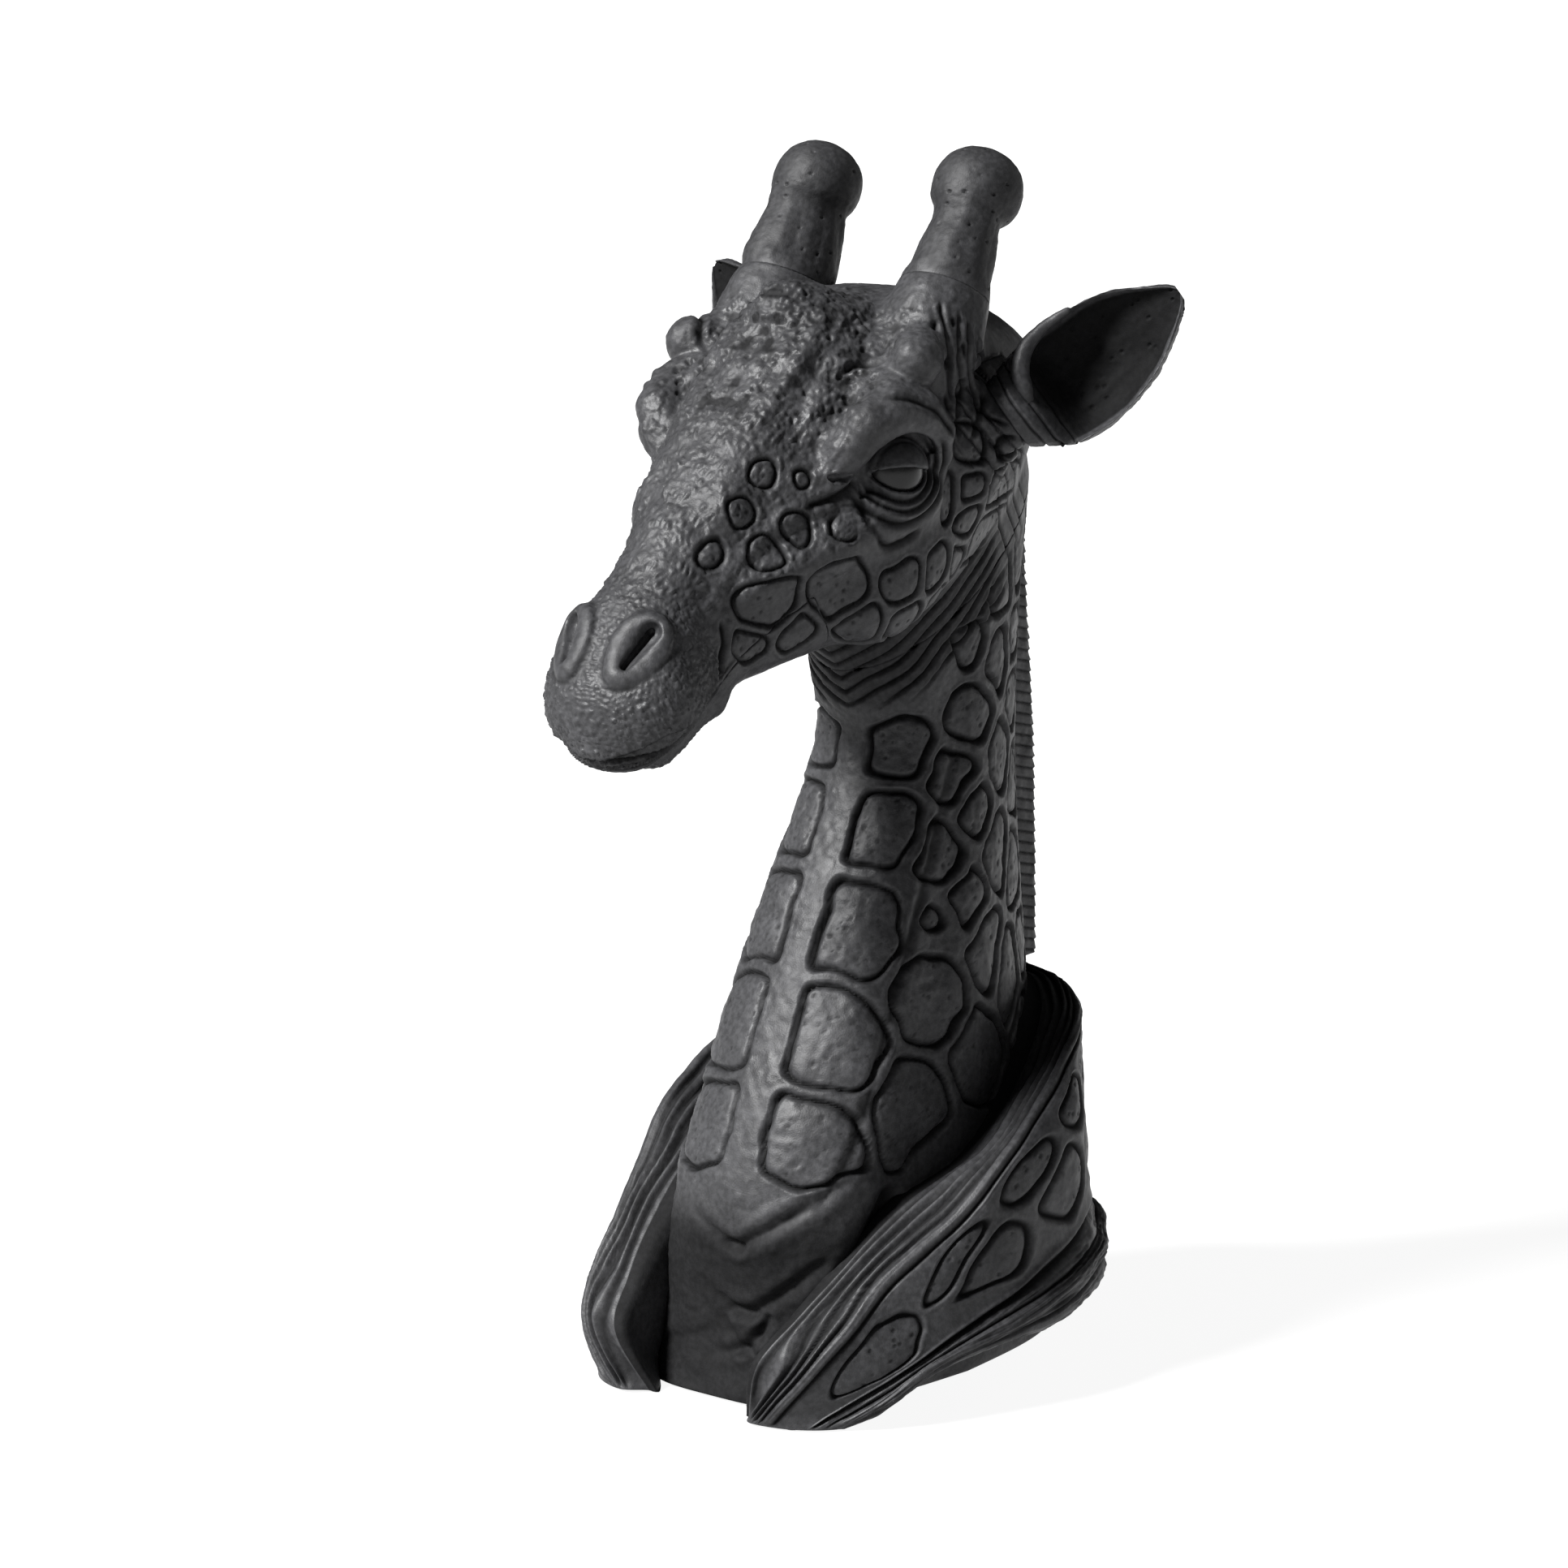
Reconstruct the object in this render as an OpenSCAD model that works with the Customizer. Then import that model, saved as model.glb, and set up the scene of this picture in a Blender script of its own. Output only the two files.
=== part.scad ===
// Carved giraffe bust, built up from carved blocks that are joined with dowels.
// Millimetres. The bust faces -Y, its left side is +X, and it stands on Z = 0.

/* [Bust] */
// Height of the bust over its ossicones
bust_h = 500; // [300:10:700]
// Thickness of the felt under the neck block
felt_t = 1.5; // [1:0.5:4]
// How much smaller than the foot of the neck block the felt is, all round
felt_inset = 4; // [2:1:10]

/* [Ossicones] */
// Diameter of the knob on each ossicone
knob_d = 33.4; // [30:0.2:36]
// Diameter of the stem just under the knob
stem_d = 26; // [22:0.2:28]
// Distance from the knob's centre down to the glue joint
ossicone_len = 45; // [40:1:50]

/* [Ears] */
// Half the thickness of an ear's wall
ear_wall = 2.4; // [1.6:0.2:3]
// How deep the cup of an ear is
ear_cup = 13; // [6:1:16]

/* [Eyes] */
// Diameter of each inlaid eyeball
eye_d = 30; // [26:1:32]
// Thickness of the carved eyelids over the eyeball
lid_t = 3; // [2:0.5:5]

/* [Joinery] */
// Diameter of the two dowels between neck and head
head_dowel_d = 16; // [10:1:20]
// Diameter of the dowel in each ossicone
ossicone_dowel_d = 10; // [6:1:12]
// Diameter of the dowel in each ear
ear_dowel_d = 8; // [5:1:10]
// Diameter of the dowels between the mantle and the neck
mantle_dowel_d = 10; // [6:1:12]
// Diameter of the dowels in the lower jaw
jaw_dowel_d = 8; // [4:1:10]

/* [Hidden] */

$fn = 48;
EPS = 0.01;
BLACK = [0.10, 0.10, 0.10];
EYE = [0.05, 0.05, 0.05];
BEECH = [0.78, 0.62, 0.42];
FELT = [0.06, 0.07, 0.06];
design_h = 500;            // the height that the stations below are drawn at
size_k = bust_h / design_h;
far = 200;                 // longer than any piece that it cuts

// --- Lofting -------------------------------------------------------------------------

// A Catmull-Rom value between b and c, at t from 0 to 1.
function spline(a, b, c, d, t) =
    0.5 * ((2 * b) + (c - a) * t + (2 * a - 5 * b + 4 * c - d) * t * t
        + (3 * b - a - 3 * c + d) * t * t * t);

// The open list v, at position q from 0 to 1 along it.
function along(v, q) =
    let (n = len(v) - 1, i = min(floor(q * n), n - 1))
    spline(v[max(i - 1, 0)], v[i], v[i + 1], v[min(i + 2, n)], q * n - i);

// The closed list v, at position q from 0 to 1 around it.
function around(v, q) =
    let (n = len(v), i = floor(q * n))
    spline(v[(i + n - 1) % n], v[i % n], v[(i + 1) % n], v[(i + 2) % n], q * n - i);

function middle(ring) = [for (r = ring) 1] * ring / len(ring);

// A closed solid through rings of equal length, each clockwise as seen from the last one.
module loft(rings) {
    m = len(rings[0]);
    n = len(rings);
    points = concat([for (r = rings) each r], [middle(rings[0]), middle(rings[n - 1])]);
    sides = [
        for (i = [0 : n - 2]) for (j = [0 : m - 1])
            let (a = i * m + j, b = i * m + (j + 1) % m)
            each [[b + m, b, a], [a + m, b + m, a]]
    ];
    caps = [
        for (j = [0 : m - 1])
            let (k = (j + 1) % m)
            each [[n * m, j, k], [n * m + 1, (n - 1) * m + k, (n - 1) * m + j]]
    ];
    polyhedron(points, concat(sides, caps), convexity = 8);
}

// A bump of height 1 around the value c, that fades out over w.
function bump(v, c, w) = exp(-pow((v - c) / w, 2));

// --- The head's own axes --------------------------------------------------------------

head_pitch = 36;           // how far the muzzle points below level
head_y = 10;
head_z = 385;
joint_t = -61;             // the glue joint with the neck, in the head's t
mouth_t = 12.5;            // the mouth line, in the head's t
mouth_s = 164;             // the corner of the mouth
jaw_s = 104;               // the back of the lower jaw block
mouth_gap = 1.2;

// A point in the head: x to the left, s forward along the muzzle, t up out of the face.
function in_head(x, s, t) = [
    x,
    head_y - s * cos(head_pitch) - t * sin(head_pitch),
    head_z - s * sin(head_pitch) + t * cos(head_pitch)
];

// Children are drawn with X to the left, -Y forward along the muzzle and Z up out of it.
module at_head(x, s, t) {
    translate(in_head(x, s, t)) rotate([head_pitch, 0, 0]) children();
}

// Children on the left and mirrored on the right.
module both_sides() {
    children();
    mirror([1, 0, 0]) children();
}

// --- Neck -----------------------------------------------------------------------------

foot_shift = 13;           // the chest's foot stands this far over to the bust's right
foot_box = 0.4;            // how much squarer the neck is at its foot
neck_ring_points = 40;
neck_rings = 26;

// [front y, front z, back y, back z, half width, how much wider the front half is]
neck_stations = [
    [-80, felt_t, 98, felt_t, 50, 0.05],
    [-76, 36, 104, 40, 50, 0.10],
    [-84, 76, 107, 78, 51, 0.16],
    [-76, 110, 108, 118, 51, 0.26],
    [-59, 148, 107, 152, 46, 0.33],
    [-36, 195, 104, 196, 40, 0.38],
    [-15.5, 234, 101, 244, 34, 0.38],
    [-5, 264, 99, 302, 33, 0.28],
    [in_head(0, 74, joint_t)[1], in_head(0, 74, joint_t)[2],
     in_head(0, -66, joint_t)[1], in_head(0, -66, joint_t)[2], 38, 0.12]
];

function squared(v, power) = sign(v) * pow(abs(v), power);

// An egg-shaped ring with a shallow furrow down each side of the windpipe.
// a is 0 at the front and 90 on the left side.
function neck_point(st, a) =
    let (side = a > 180 ? 360 - a : a, low = max(1 - st[1] / 110, 0),
        c = squared(cos(a), 1 - foot_box * low), s = squared(sin(a), 1 - foot_box * low),
        k = 1 - (0.055 * bump(side, 62, 13) - 0.03 * bump(side, 38, 14)) * min(st[5] / 0.2, 1.2))
    [
        k * st[4] * s * (1 + st[5] * c) - foot_shift * low * max(c, 0),
        (st[0] + st[2]) / 2 + k * (st[0] - st[2]) / 2 * c,
        (st[1] + st[3]) / 2 + k * (st[1] - st[3]) / 2 * c
    ];
function neck_ring(st) = [
    for (i = [0 : neck_ring_points - 1]) neck_point(st, i * 360 / neck_ring_points)
];

module neck_loft() {
    loft([for (i = [0 : neck_rings]) neck_ring(along(neck_stations, i / neck_rings))]);
}

module neck_block() color(BLACK) difference() {
    neck_loft();
    mane_solid();
    head_dowel_shafts();
    mantle_dowel_shafts();
}

// --- Head -----------------------------------------------------------------------------

head_ring_points = 36;
head_rings = 34;
eye_at = [51, 60, 35];     // in x, s, t
ossicone_knob = [39.8, 23.4, 485 - 1.5];
ossicone_foot = [40, 1.4, 445];
ossicone_axis = (ossicone_knob - ossicone_foot) / norm(ossicone_knob - ossicone_foot);
ossicone_joint = ossicone_knob - ossicone_len * ossicone_axis;

// [s, top t, widest t, bottom t, half width]
head_stations = [
    [203, 21, 17, 13, 7],
    [199, 31, 18, 7, 20],
    [190, 42, 19, 1, 29],
    [175, 51, 21, -4, 33],
    [157, 56, 23, -4, 31],
    [140, 59, 25, -6, 30],
    [121, 64, 26, -13, 33],
    [103, 68, 28, -20, 38],
    [86, 73, 30, -25, 45],
    [68, 79, 32, -30, 51],
    [50, 84, 34, -35, 57],
    [27, 86, 36, -40, 61],
    [8, 79, 32, -43, 61],
    [-12, 65, 26, -46, 58],
    [-32, 52, 16, -49, 54],
    [-52, 34, 2, -50, 46],
    [-68, 12, -12, -44, 33],
    [-78, -8, -20, -32, 12]
];

function head_ring(st) = [
    for (i = [0 : head_ring_points - 1])
        let (a = i * 360 / head_ring_points, c = cos(a))
        in_head(st[4] * sin(a), st[0], st[2] + (c > 0 ? st[1] - st[2] : st[2] - st[3]) * c)
];

module head_loft() {
    loft([for (i = [0 : head_rings]) head_ring(along(head_stations, i / head_rings))]);
}

// The top of the neck, which the head block carries on upwards from the joint.
// [front s, back s, half width, t]
stub_stations = [
    [74, -66, 40, joint_t],
    [74, -69, 42, -50],
    [70, -70, 44, -32],
    [56, -62, 40, -12]
];

module neck_stub() {
    loft([
        for (q = [0 : 0.25 : 1]) let (st = along(stub_stations, q)) [
            for (i = [0 : neck_ring_points - 1])
                let (a = i * 360 / neck_ring_points)
                in_head(st[2] * sin(a) * (1 + 0.10 * cos(a)),
                    (st[0] + st[1]) / 2 + (st[0] - st[1]) / 2 * cos(a), st[3])
        ]
    ]);
}

// Everything below the mouth line, from the chin back to the joint in front of the throat.
module jaw_region() {
    at_head(0, jaw_s, mouth_t) translate([-far / 2, -far, -far]) cube(far);
}

// The open slit between the lips.
module mouth_slit() {
    at_head(0, mouth_s, mouth_t) translate([-far / 2, -far, -EPS]) cube([far, far, mouth_gap]);
}

// A slanting teardrop nostril in the left of the muzzle.
module nostril() {
    hull() {
        at_head(15, 190, 37) sphere(d = 9, $fn = 16);
        at_head(21, 177, 49) sphere(d = 4.5, $fn = 14);
    }
}

// The raised rim round the nostril.
module nostril_rim() {
    hull() {
        at_head(14.5, 186, 34) sphere(d = 19, $fn = 16);
        at_head(20, 173, 43) sphere(d = 15, $fn = 16);
    }
}

// Eyelids, a heavy brow and the pad of the cheekbone on the left of the head.
module eye_region() {
    at_head(eye_at[0], eye_at[1], eye_at[2]) sphere(d = eye_d + 2 * lid_t, $fn = 24);
    hull() {
        at_head(46, 60, 54) sphere(d = 22, $fn = 16);
        at_head(50, 30, 50) sphere(d = 34, $fn = 20);
        at_head(52, 38, 62) sphere(d = 20, $fn = 16);
    }
    hull() {
        at_head(44, 72, 18) sphere(d = 16, $fn = 16);
        at_head(53, 40, 14) sphere(d = 20, $fn = 16);
    }
}

// The almond opening between the eyelids, wedge-shaped so that its edges meet in corners.
module eye_opening() {
    at_head(eye_at[0], eye_at[1], eye_at[2]) rotate([-head_pitch, 0, 0])
        rotate([0, 0, -20]) rotate([-8, 0, 0]) rotate([90, 0, 0]) linear_extrude(80, center = true)
            polygon([[0, 0], [40, -17], [40, 4]]);
}

module eyeball(clearance, sides) {
    at_head(eye_at[0], eye_at[1], eye_at[2]) sphere(d = eye_d + clearance, $fn = sides);
}

// The flare of bone that carries an ossicone, cut off at its glue joint.
module ossicone_boss() {
    hull() {
        translate(ossicone_joint - EPS * ossicone_axis) along_ossicone() translate([0, 0, -2])
            cylinder(d = stem_d + 5, h = 2, $fn = 32);
        at_head(42, -2, 56) sphere(d = 40, $fn = 32);
    }
}

module along_ossicone() {
    rotate([0, acos(ossicone_axis[2]), atan2(ossicone_axis[1], ossicone_axis[0])]) children();
}

module head_solid() {
    difference() {
        union() {
            head_loft();
            neck_stub();
            both_sides() {
                eye_region();
                ossicone_boss();
                ear_boss();
                nostril_rim();
            }
        }
        both_sides() {
            nostril();
            eye_opening();
            eyeball(0.3, 28);
        }
        mouth_slit();
    }
}

module head_block() color(BLACK) difference() {
    head_solid();
    jaw_region();
    mane_solid();
    head_dowel_shafts();
    jaw_dowel_shafts();
    both_sides() {
        ossicone_dowel_shaft();
        ear_dowel_shaft();
    }
}

module lower_jaw() color(BLACK) difference() {
    intersection() {
        head_loft();
        jaw_region();
    }
    jaw_dowel_shafts();
}

// --- Ossicones ------------------------------------------------------------------------

// A turned stem with a round knob, on the left of the head.
module ossicone() {
    neck_z = ossicone_len - knob_d * 0.40;
    translate(ossicone_joint) along_ossicone() difference() {
        union() {
            translate([0, 0, ossicone_len]) sphere(d = knob_d);
            rotate_extrude() polygon([
                [0, 0], [stem_d / 2 + 2.5, 0], [stem_d / 2 + 1, neck_z * 0.3],
                [stem_d / 2, neck_z * 0.6], [stem_d / 2 + 0.2, neck_z * 0.85],
                [stem_d / 2 + 1.6, neck_z], [0, neck_z + 4]
            ]);
        }
        translate([0, 0, -EPS]) cylinder(d = ossicone_dowel_d, h = 20);
    }
}

module ossicone_dowel_shaft() {
    translate(ossicone_joint) along_ossicone() translate([0, 0, -20])
        cylinder(d = ossicone_dowel_d, h = 40);
}

module ossicone_left() color(BLACK) ossicone();
module ossicone_right() color(BLACK) mirror([1, 0, 0]) ossicone();

// --- Ears -----------------------------------------------------------------------------

ear_root = [61, 15, 397];
ear_tip = [115, 52, 445];
ear_x = (ear_tip - ear_root) / norm(ear_tip - ear_root);
ear_out = cross([0.42, -0.88, 0.15], ear_x) / norm(cross([0.42, -0.88, 0.15], ear_x));
ear_face = cross(ear_x, ear_out);

// A point of the ear: u along it, v across it, w out of the cup.
function in_ear(u, v, w) = ear_root + u * ear_x + v * ear_out + w * ear_face;

// [u, lower edge v, upper edge v, cup depth, how far the cup has opened from the round root]
ear_stations = [
    [0, -13.5, 13.5, 6, 0],
    [7, -14, 13.5, 10, 0.1],
    [15, -19, 15, 14, 0.6],
    [24, -24, 17, 15, 0.95],
    [36, -26, 19, 15, 1],
    [48, -24, 19, 13, 1],
    [60, -20, 16, 9.5, 1],
    [71, -14, 10, 5.5, 1],
    [79, -7, 5, 2, 1],
    [82, -3, 2, 0.5, 1]
];
ear_ring_points = 14;
ear_rings = 20;

// A point of the ear's wall across a station, with e from -1 to 1.
// face is 1 on the inside of the cup and -1 on the back of the ear.
function ear_arc(st, e, face) =
    let (mid = (st[1] + st[2]) / 2, half = (st[2] - st[1]) / 2,
        thick = ear_wall * (1 - abs(e) * 0.4),
        open_w = -st[3] * ear_cup / 13 * (1 - e * e) + face * thick,
        round_w = face * max(half * cos(90 * e), 1.2))
    in_ear(st[0], mid + (half - face * 1.2 * st[4]) * sin(90 * e),
        round_w * (1 - st[4]) + open_w * st[4]);

function ear_ring(st) = [
    for (i = [0 : ear_ring_points]) ear_arc(st, 1 - 2 * i / ear_ring_points, 1),
    for (i = [0 : ear_ring_points]) ear_arc(st, 2 * i / ear_ring_points - 1, -1)
];

module ear() {
    difference() {
        loft([for (i = [0 : ear_rings]) ear_ring(along(ear_stations, i / ear_rings))]);
        ear_dowel_shaft();
    }
}

module along_ear() {
    rotate([0, acos(ear_x[2]), atan2(ear_x[1], ear_x[0])]) children();
}

// The ringed stump on the skull that the ear is glued to.
module ear_boss() {
    translate(ear_root) along_ear() translate([0, 0, -22]) cylinder(d1 = 36, d2 = 27, h = 22, $fn = 28);
}

module ear_dowel_shaft() {
    translate(ear_root) along_ear() translate([0, 0, -15]) cylinder(d = ear_dowel_d, h = 22);
}

module ear_left() color(BLACK) ear();
module ear_right() color(BLACK) mirror([1, 0, 0]) ear();

// --- Eyes -----------------------------------------------------------------------------

module eye_left() color(EYE) eyeball(0, 48);
module eye_right() color(EYE) mirror([1, 0, 0]) eyeball(0, 48);

// --- Mane -----------------------------------------------------------------------------

mane_w = 13;
mane_bed = 14;             // how deep the strip is let into the blocks
mane_tufts = 26;

// The crest of the strip, from the nape down to the withers: [y, z]
mane_crest = [
    [93, 408], [102.5, 384], [107, 352], [112.5, 302], [117.5, 249], [120, 200], [121, 152]
];

function mane_ring(q, tuft) =
    let (c = along(mane_crest, q), top = c[0] + tuft)
    [
        [-mane_w / 2, c[0] - 6 - mane_bed, c[1]], [mane_w / 2, c[0] - 6 - mane_bed, c[1]],
        [mane_w / 2, c[0] - 5, c[1]], [mane_w * 0.3, c[0] - 1.5 + tuft / 2, c[1]],
        [0, top, c[1]], [-mane_w * 0.3, c[0] - 1.5 + tuft / 2, c[1]], [-mane_w / 2, c[0] - 5, c[1]]
    ];

module mane_solid() {
    loft([
        for (i = [2 * mane_tufts : -1 : 0])
            mane_ring(i / (2 * mane_tufts), i % 2 == 0 ? -1.2 : 1.2)
    ]);
}

module mane_strip() color(BLACK) mane_solid();

// --- Mantle ---------------------------------------------------------------------------

drape_shift = 12;          // both front ends hang this far over to the bust's right
drape_forward = 5;         // and this far forward
collar_rise = 5;           // how much higher the right shoulder of the drape is
mantle_ring_points = 30;
mantle_rings = 24;

// Lines along the left half, from the front end round to the seam at the back.
inner_edge = [
    [20, -78, 3], [36, -90, 26], [44, -78, 44], [50, -62, 62], [55, -36, 84], [58, 0, 98],
    [54, 36, 118], [40, 74, 138], [18, 100, 146], [0, 107, 147]
];
collar_ridge = [
    [29, -86, 5], [54, -88, 28], [66, -72, 47], [71, -58, 61], [77, -42, 76], [83, -20, 98],
    [82, 6, 116], [76, 36, 134], [66, 62, 149], [40, 96, 151], [0, 117, 150]
];
panel = [
    [46, -87, 4], [62, -80, 18], [74, -62, 34], [82, -42, 54], [89, -10, 86], [88, 30, 109],
    [72, 58, 118], [42, 96, 118], [0, 120, 116]
];
furrow = [
    [56, -81.5, 4], [70, -68, 15], [82, -47, 30], [89, -20, 44], [91, 13, 55], [85, 45, 60],
    [69, 69, 60], [42, 101, 61], [0, 121, 62]
];
hem_roll = [
    [61.5, -75, 3], [74, -65, 12], [84, -49, 26], [93, -20, 36], [96, 13, 44], [89, 47, 48],
    [74, 72, 47], [46, 107, 47], [0, 127, 46]
];
hem_under = [
    [59.5, -71, 1], [67, -65, 5], [76, -48, 19], [84, -20, 27], [89, 10, 29], [84, 42, 32],
    [69, 71, 30], [42, 101, 30], [0, 119, 30]
];

function inside(p, kx, ky, dz) = [p[0] * kx, p[1] * ky, p[2] + dz];

function front_shift(p, side) =
    let (
        f = min(max(-p[1] / 80, 0), 1.2), high = min(max((p[2] - 30) / 60, 0), 1),
        rise = side < 0 ? collar_rise * exp(-pow((p[1] + 15) / 45, 2)) * high : 0
    )
    [p[0] - drape_shift * pow(f, 1.5), p[1] - drape_forward * f * f, p[2] + rise];

function mantle_lines(q) = [
    along(inner_edge, q), along(collar_ridge, q), along(panel, q), along(furrow, q),
    along(hem_roll, q), along(hem_under, q),
    inside(along(hem_under, q), 0.72 - 0.3 * q, 0.94 - 0.2 * q, 2 + 4 * q),
    inside(along(inner_edge, q), 0.92 - 0.3 * q, 0.96 - 0.18 * q, -2 - 10 * q)
];

// side is 1 for the left half and -1 for the right half.
function mantle_ring(q, side) =
    let (c = mantle_lines(q))
    [
        for (i = [0 : mantle_ring_points - 1])
            let (p = around(c, (side > 0 ? i : mantle_ring_points - i) % mantle_ring_points
                / mantle_ring_points))
            front_shift([side * p[0], p[1], max(p[2], felt_t)], side)
    ];

module mantle_half(side) {
    difference() {
        loft([for (i = [0 : mantle_rings]) mantle_ring(i / mantle_rings, side)]);
        neck_loft();
        mane_solid();
        mantle_dowel_shafts();
    }
}

module mantle_left() color(BLACK) mantle_half(1);
module mantle_right() color(BLACK) mantle_half(-1);

// --- Dowels and felt ------------------------------------------------------------------

module head_dowel_shafts() {
    for (s = [40, -26])
        at_head(0, s, joint_t) translate([0, 0, -30]) cylinder(d = head_dowel_d, h = 60);
}

module jaw_dowel_shafts() {
    for (s = [122, 148])
        at_head(0, s, mouth_t) translate([0, 0, -9]) cylinder(d = jaw_dowel_d, h = 20);
}

module mantle_dowel_shafts() {
    for (side = [-1, 1]) for (y = [0, 34])
        translate([side * 30, y, 66]) rotate([0, side * 90, 0])
            cylinder(d = mantle_dowel_d, h = 42);
}

module head_dowels() color(BEECH) head_dowel_shafts();
module jaw_dowels() color(BEECH) jaw_dowel_shafts();
module ossicone_dowels() color(BEECH) both_sides() ossicone_dowel_shaft();
module ear_dowels() color(BEECH) both_sides() ear_dowel_shaft();
module mantle_dowels() color(BEECH) mantle_dowel_shafts();

module base_felt() color(FELT) linear_extrude(felt_t) {
    polygon([
        for (a = [0 : 9 : 351])
            let (p = neck_point(neck_stations[0], a), r = norm([p[0], p[1]]))
            [p[0], p[1]] * (r - felt_inset) / r
    ]);
    for (side = [-1, 1])
        translate([side * 46 - 1.1 * drape_shift, -86]) circle(d = 8);
}

scale(size_k) neck_block();
scale(size_k) head_block();
scale(size_k) lower_jaw();
scale(size_k) mane_strip();
scale(size_k) mantle_left();
scale(size_k) mantle_right();
scale(size_k) ear_left();
scale(size_k) ear_right();
scale(size_k) ossicone_left();
scale(size_k) ossicone_right();
scale(size_k) eye_left();
scale(size_k) eye_right();
scale(size_k) head_dowels();
scale(size_k) jaw_dowels();
scale(size_k) ossicone_dowels();
scale(size_k) ear_dowels();
scale(size_k) mantle_dowels();
scale(size_k) base_felt();
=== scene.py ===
# The carved giraffe bust at high detail, in the frame's own axes: -Y forward, +X its left, +Z up.
# Lengths are in millimetres until a mesh is made.
import math

import bpy
import numpy as np
import openvdb
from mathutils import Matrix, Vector
from mathutils.kdtree import KDTree


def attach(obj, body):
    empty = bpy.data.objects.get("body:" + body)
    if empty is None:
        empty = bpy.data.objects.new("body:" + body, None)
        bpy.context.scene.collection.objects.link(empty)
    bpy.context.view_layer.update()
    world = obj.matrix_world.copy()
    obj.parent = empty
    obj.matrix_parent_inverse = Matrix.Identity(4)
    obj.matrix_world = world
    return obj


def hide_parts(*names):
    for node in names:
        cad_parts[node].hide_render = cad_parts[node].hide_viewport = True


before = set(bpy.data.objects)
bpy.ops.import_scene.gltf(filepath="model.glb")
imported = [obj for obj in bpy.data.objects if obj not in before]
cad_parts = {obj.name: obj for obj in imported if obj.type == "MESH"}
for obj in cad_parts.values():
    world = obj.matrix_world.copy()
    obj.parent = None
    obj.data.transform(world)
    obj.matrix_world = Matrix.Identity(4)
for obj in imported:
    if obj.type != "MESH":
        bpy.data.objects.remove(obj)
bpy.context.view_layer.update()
MM = 0.001

# --- Small tools ----------------------------------------------------------------------


def smin(a, b, k):
    """The lower of two values, rounded over where they are closer than k."""
    h = np.clip(0.5 + 0.5 * (b - a) / k, 0, 1)
    return b * (1 - h) + a * h - k * h * (1 - h)


def smax(a, b, k):
    """The higher of two values, rounded over where they are closer than k."""
    return -smin(-a, -b, k)


def step(v, lo, hi):
    """A smooth rise from 0 at lo to 1 at hi."""
    t = np.clip((v - lo) / (hi - lo), 0, 1)
    return t * t * (3 - 2 * t)


def fall(v, lo, hi):
    """A smooth fall from 1 at lo to 0 at hi."""
    return 1 - step(v, lo, hi)


def bell(v, centre, width):
    """A smooth bump of height 1."""
    return np.exp(-(((v - centre) / width) ** 2))


def length(v):
    """The length of each vector."""
    return np.sqrt((v * v).sum(-1))


def unit(v):
    """Each vector at length 1."""
    return v / np.maximum(length(v), 1e-9)[..., None]


TABLES = np.random.default_rng(7).random((8, 32, 32, 32)).astype(np.float32)


def noise(p, size, seed=0):
    """Smooth noise from -1 to 1 whose features are about that size."""
    q = p / size + 11.3 * (seed + 1)
    i = np.floor(q).astype(np.int64)
    f = (q - i).astype(np.float32)
    f = f * f * (3 - 2 * f)
    i &= 31
    j = (i + 1) & 31
    table = TABLES[seed % 8]
    x0, y0, z0, x1, y1, z1 = i[:, 0], i[:, 1], i[:, 2], j[:, 0], j[:, 1], j[:, 2]
    fx, fy, fz = f[:, 0], f[:, 1], f[:, 2]
    a = table[x0, y0, z0] * (1 - fx) + table[x1, y0, z0] * fx
    b = table[x0, y1, z0] * (1 - fx) + table[x1, y1, z0] * fx
    c = table[x0, y0, z1] * (1 - fx) + table[x1, y0, z1] * fx
    d = table[x0, y1, z1] * (1 - fx) + table[x1, y1, z1] * fx
    return 2 * ((a * (1 - fy) + b * fy) * (1 - fz) + (c * (1 - fy) + d * fy) * fz) - 1


def cells(p, size, seed=0, jitter=0.9):
    """Distance to the nearest and second nearest point of a jittered lattice, over size."""
    q = p / size
    base = np.floor(q).astype(np.int64)
    f1 = np.full(len(p), 9.0, np.float32)
    f2 = f1.copy()
    for dx in (-1, 0, 1):
        for dy in (-1, 0, 1):
            for dz in (-1, 0, 1):
                c = base + (dx, dy, dz)
                k = c & 31
                h = [TABLES[(seed + n) % 8][k[:, 0], k[:, 1], k[:, 2]] for n in range(3)]
                centre = c + 0.5 + jitter * (np.stack(h, -1) - 0.5)
                d = length(q - centre)
                f2 = np.minimum(f2, np.maximum(f1, d))
                f1 = np.minimum(f1, d)
    return f1, f2


def spline(a, b, c, d, t):
    """Catmull-Rom: from b to c as t goes from 0 to 1."""
    return 0.5 * (
        2 * b + (c - a) * t + (2 * a - 5 * b + 4 * c - d) * t**2
        + (3 * b - a - 3 * c + d) * t**3
    )


def curve(points, q):
    """A Catmull-Rom curve through the points, at q from 0 to 1."""
    pts = np.asarray(points, float)
    n = len(pts) - 1
    f = np.clip(np.asarray(q, float), 0, 1) * n
    i = np.minimum(np.floor(f).astype(int), n - 1)
    t = (f - i)[..., None]
    return spline(pts[np.maximum(i - 1, 0)], pts[i], pts[i + 1], pts[np.minimum(i + 2, n)], t)


def profile(keys, values, at, soften=0):
    """Values between keys, smoothed over that length."""
    order = np.argsort(keys)
    k, v = np.asarray(keys, float)[order], np.asarray(values, float)[order]
    if not soften:
        return np.interp(at, k, v)
    w = np.linspace(-2, 2, 9)
    g = np.exp(-w * w)
    return sum(gi * np.interp(at + wi * soften / 2, k, v) for wi, gi in zip(w, g)) / g.sum()


# --- Making meshes --------------------------------------------------------------------


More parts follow.
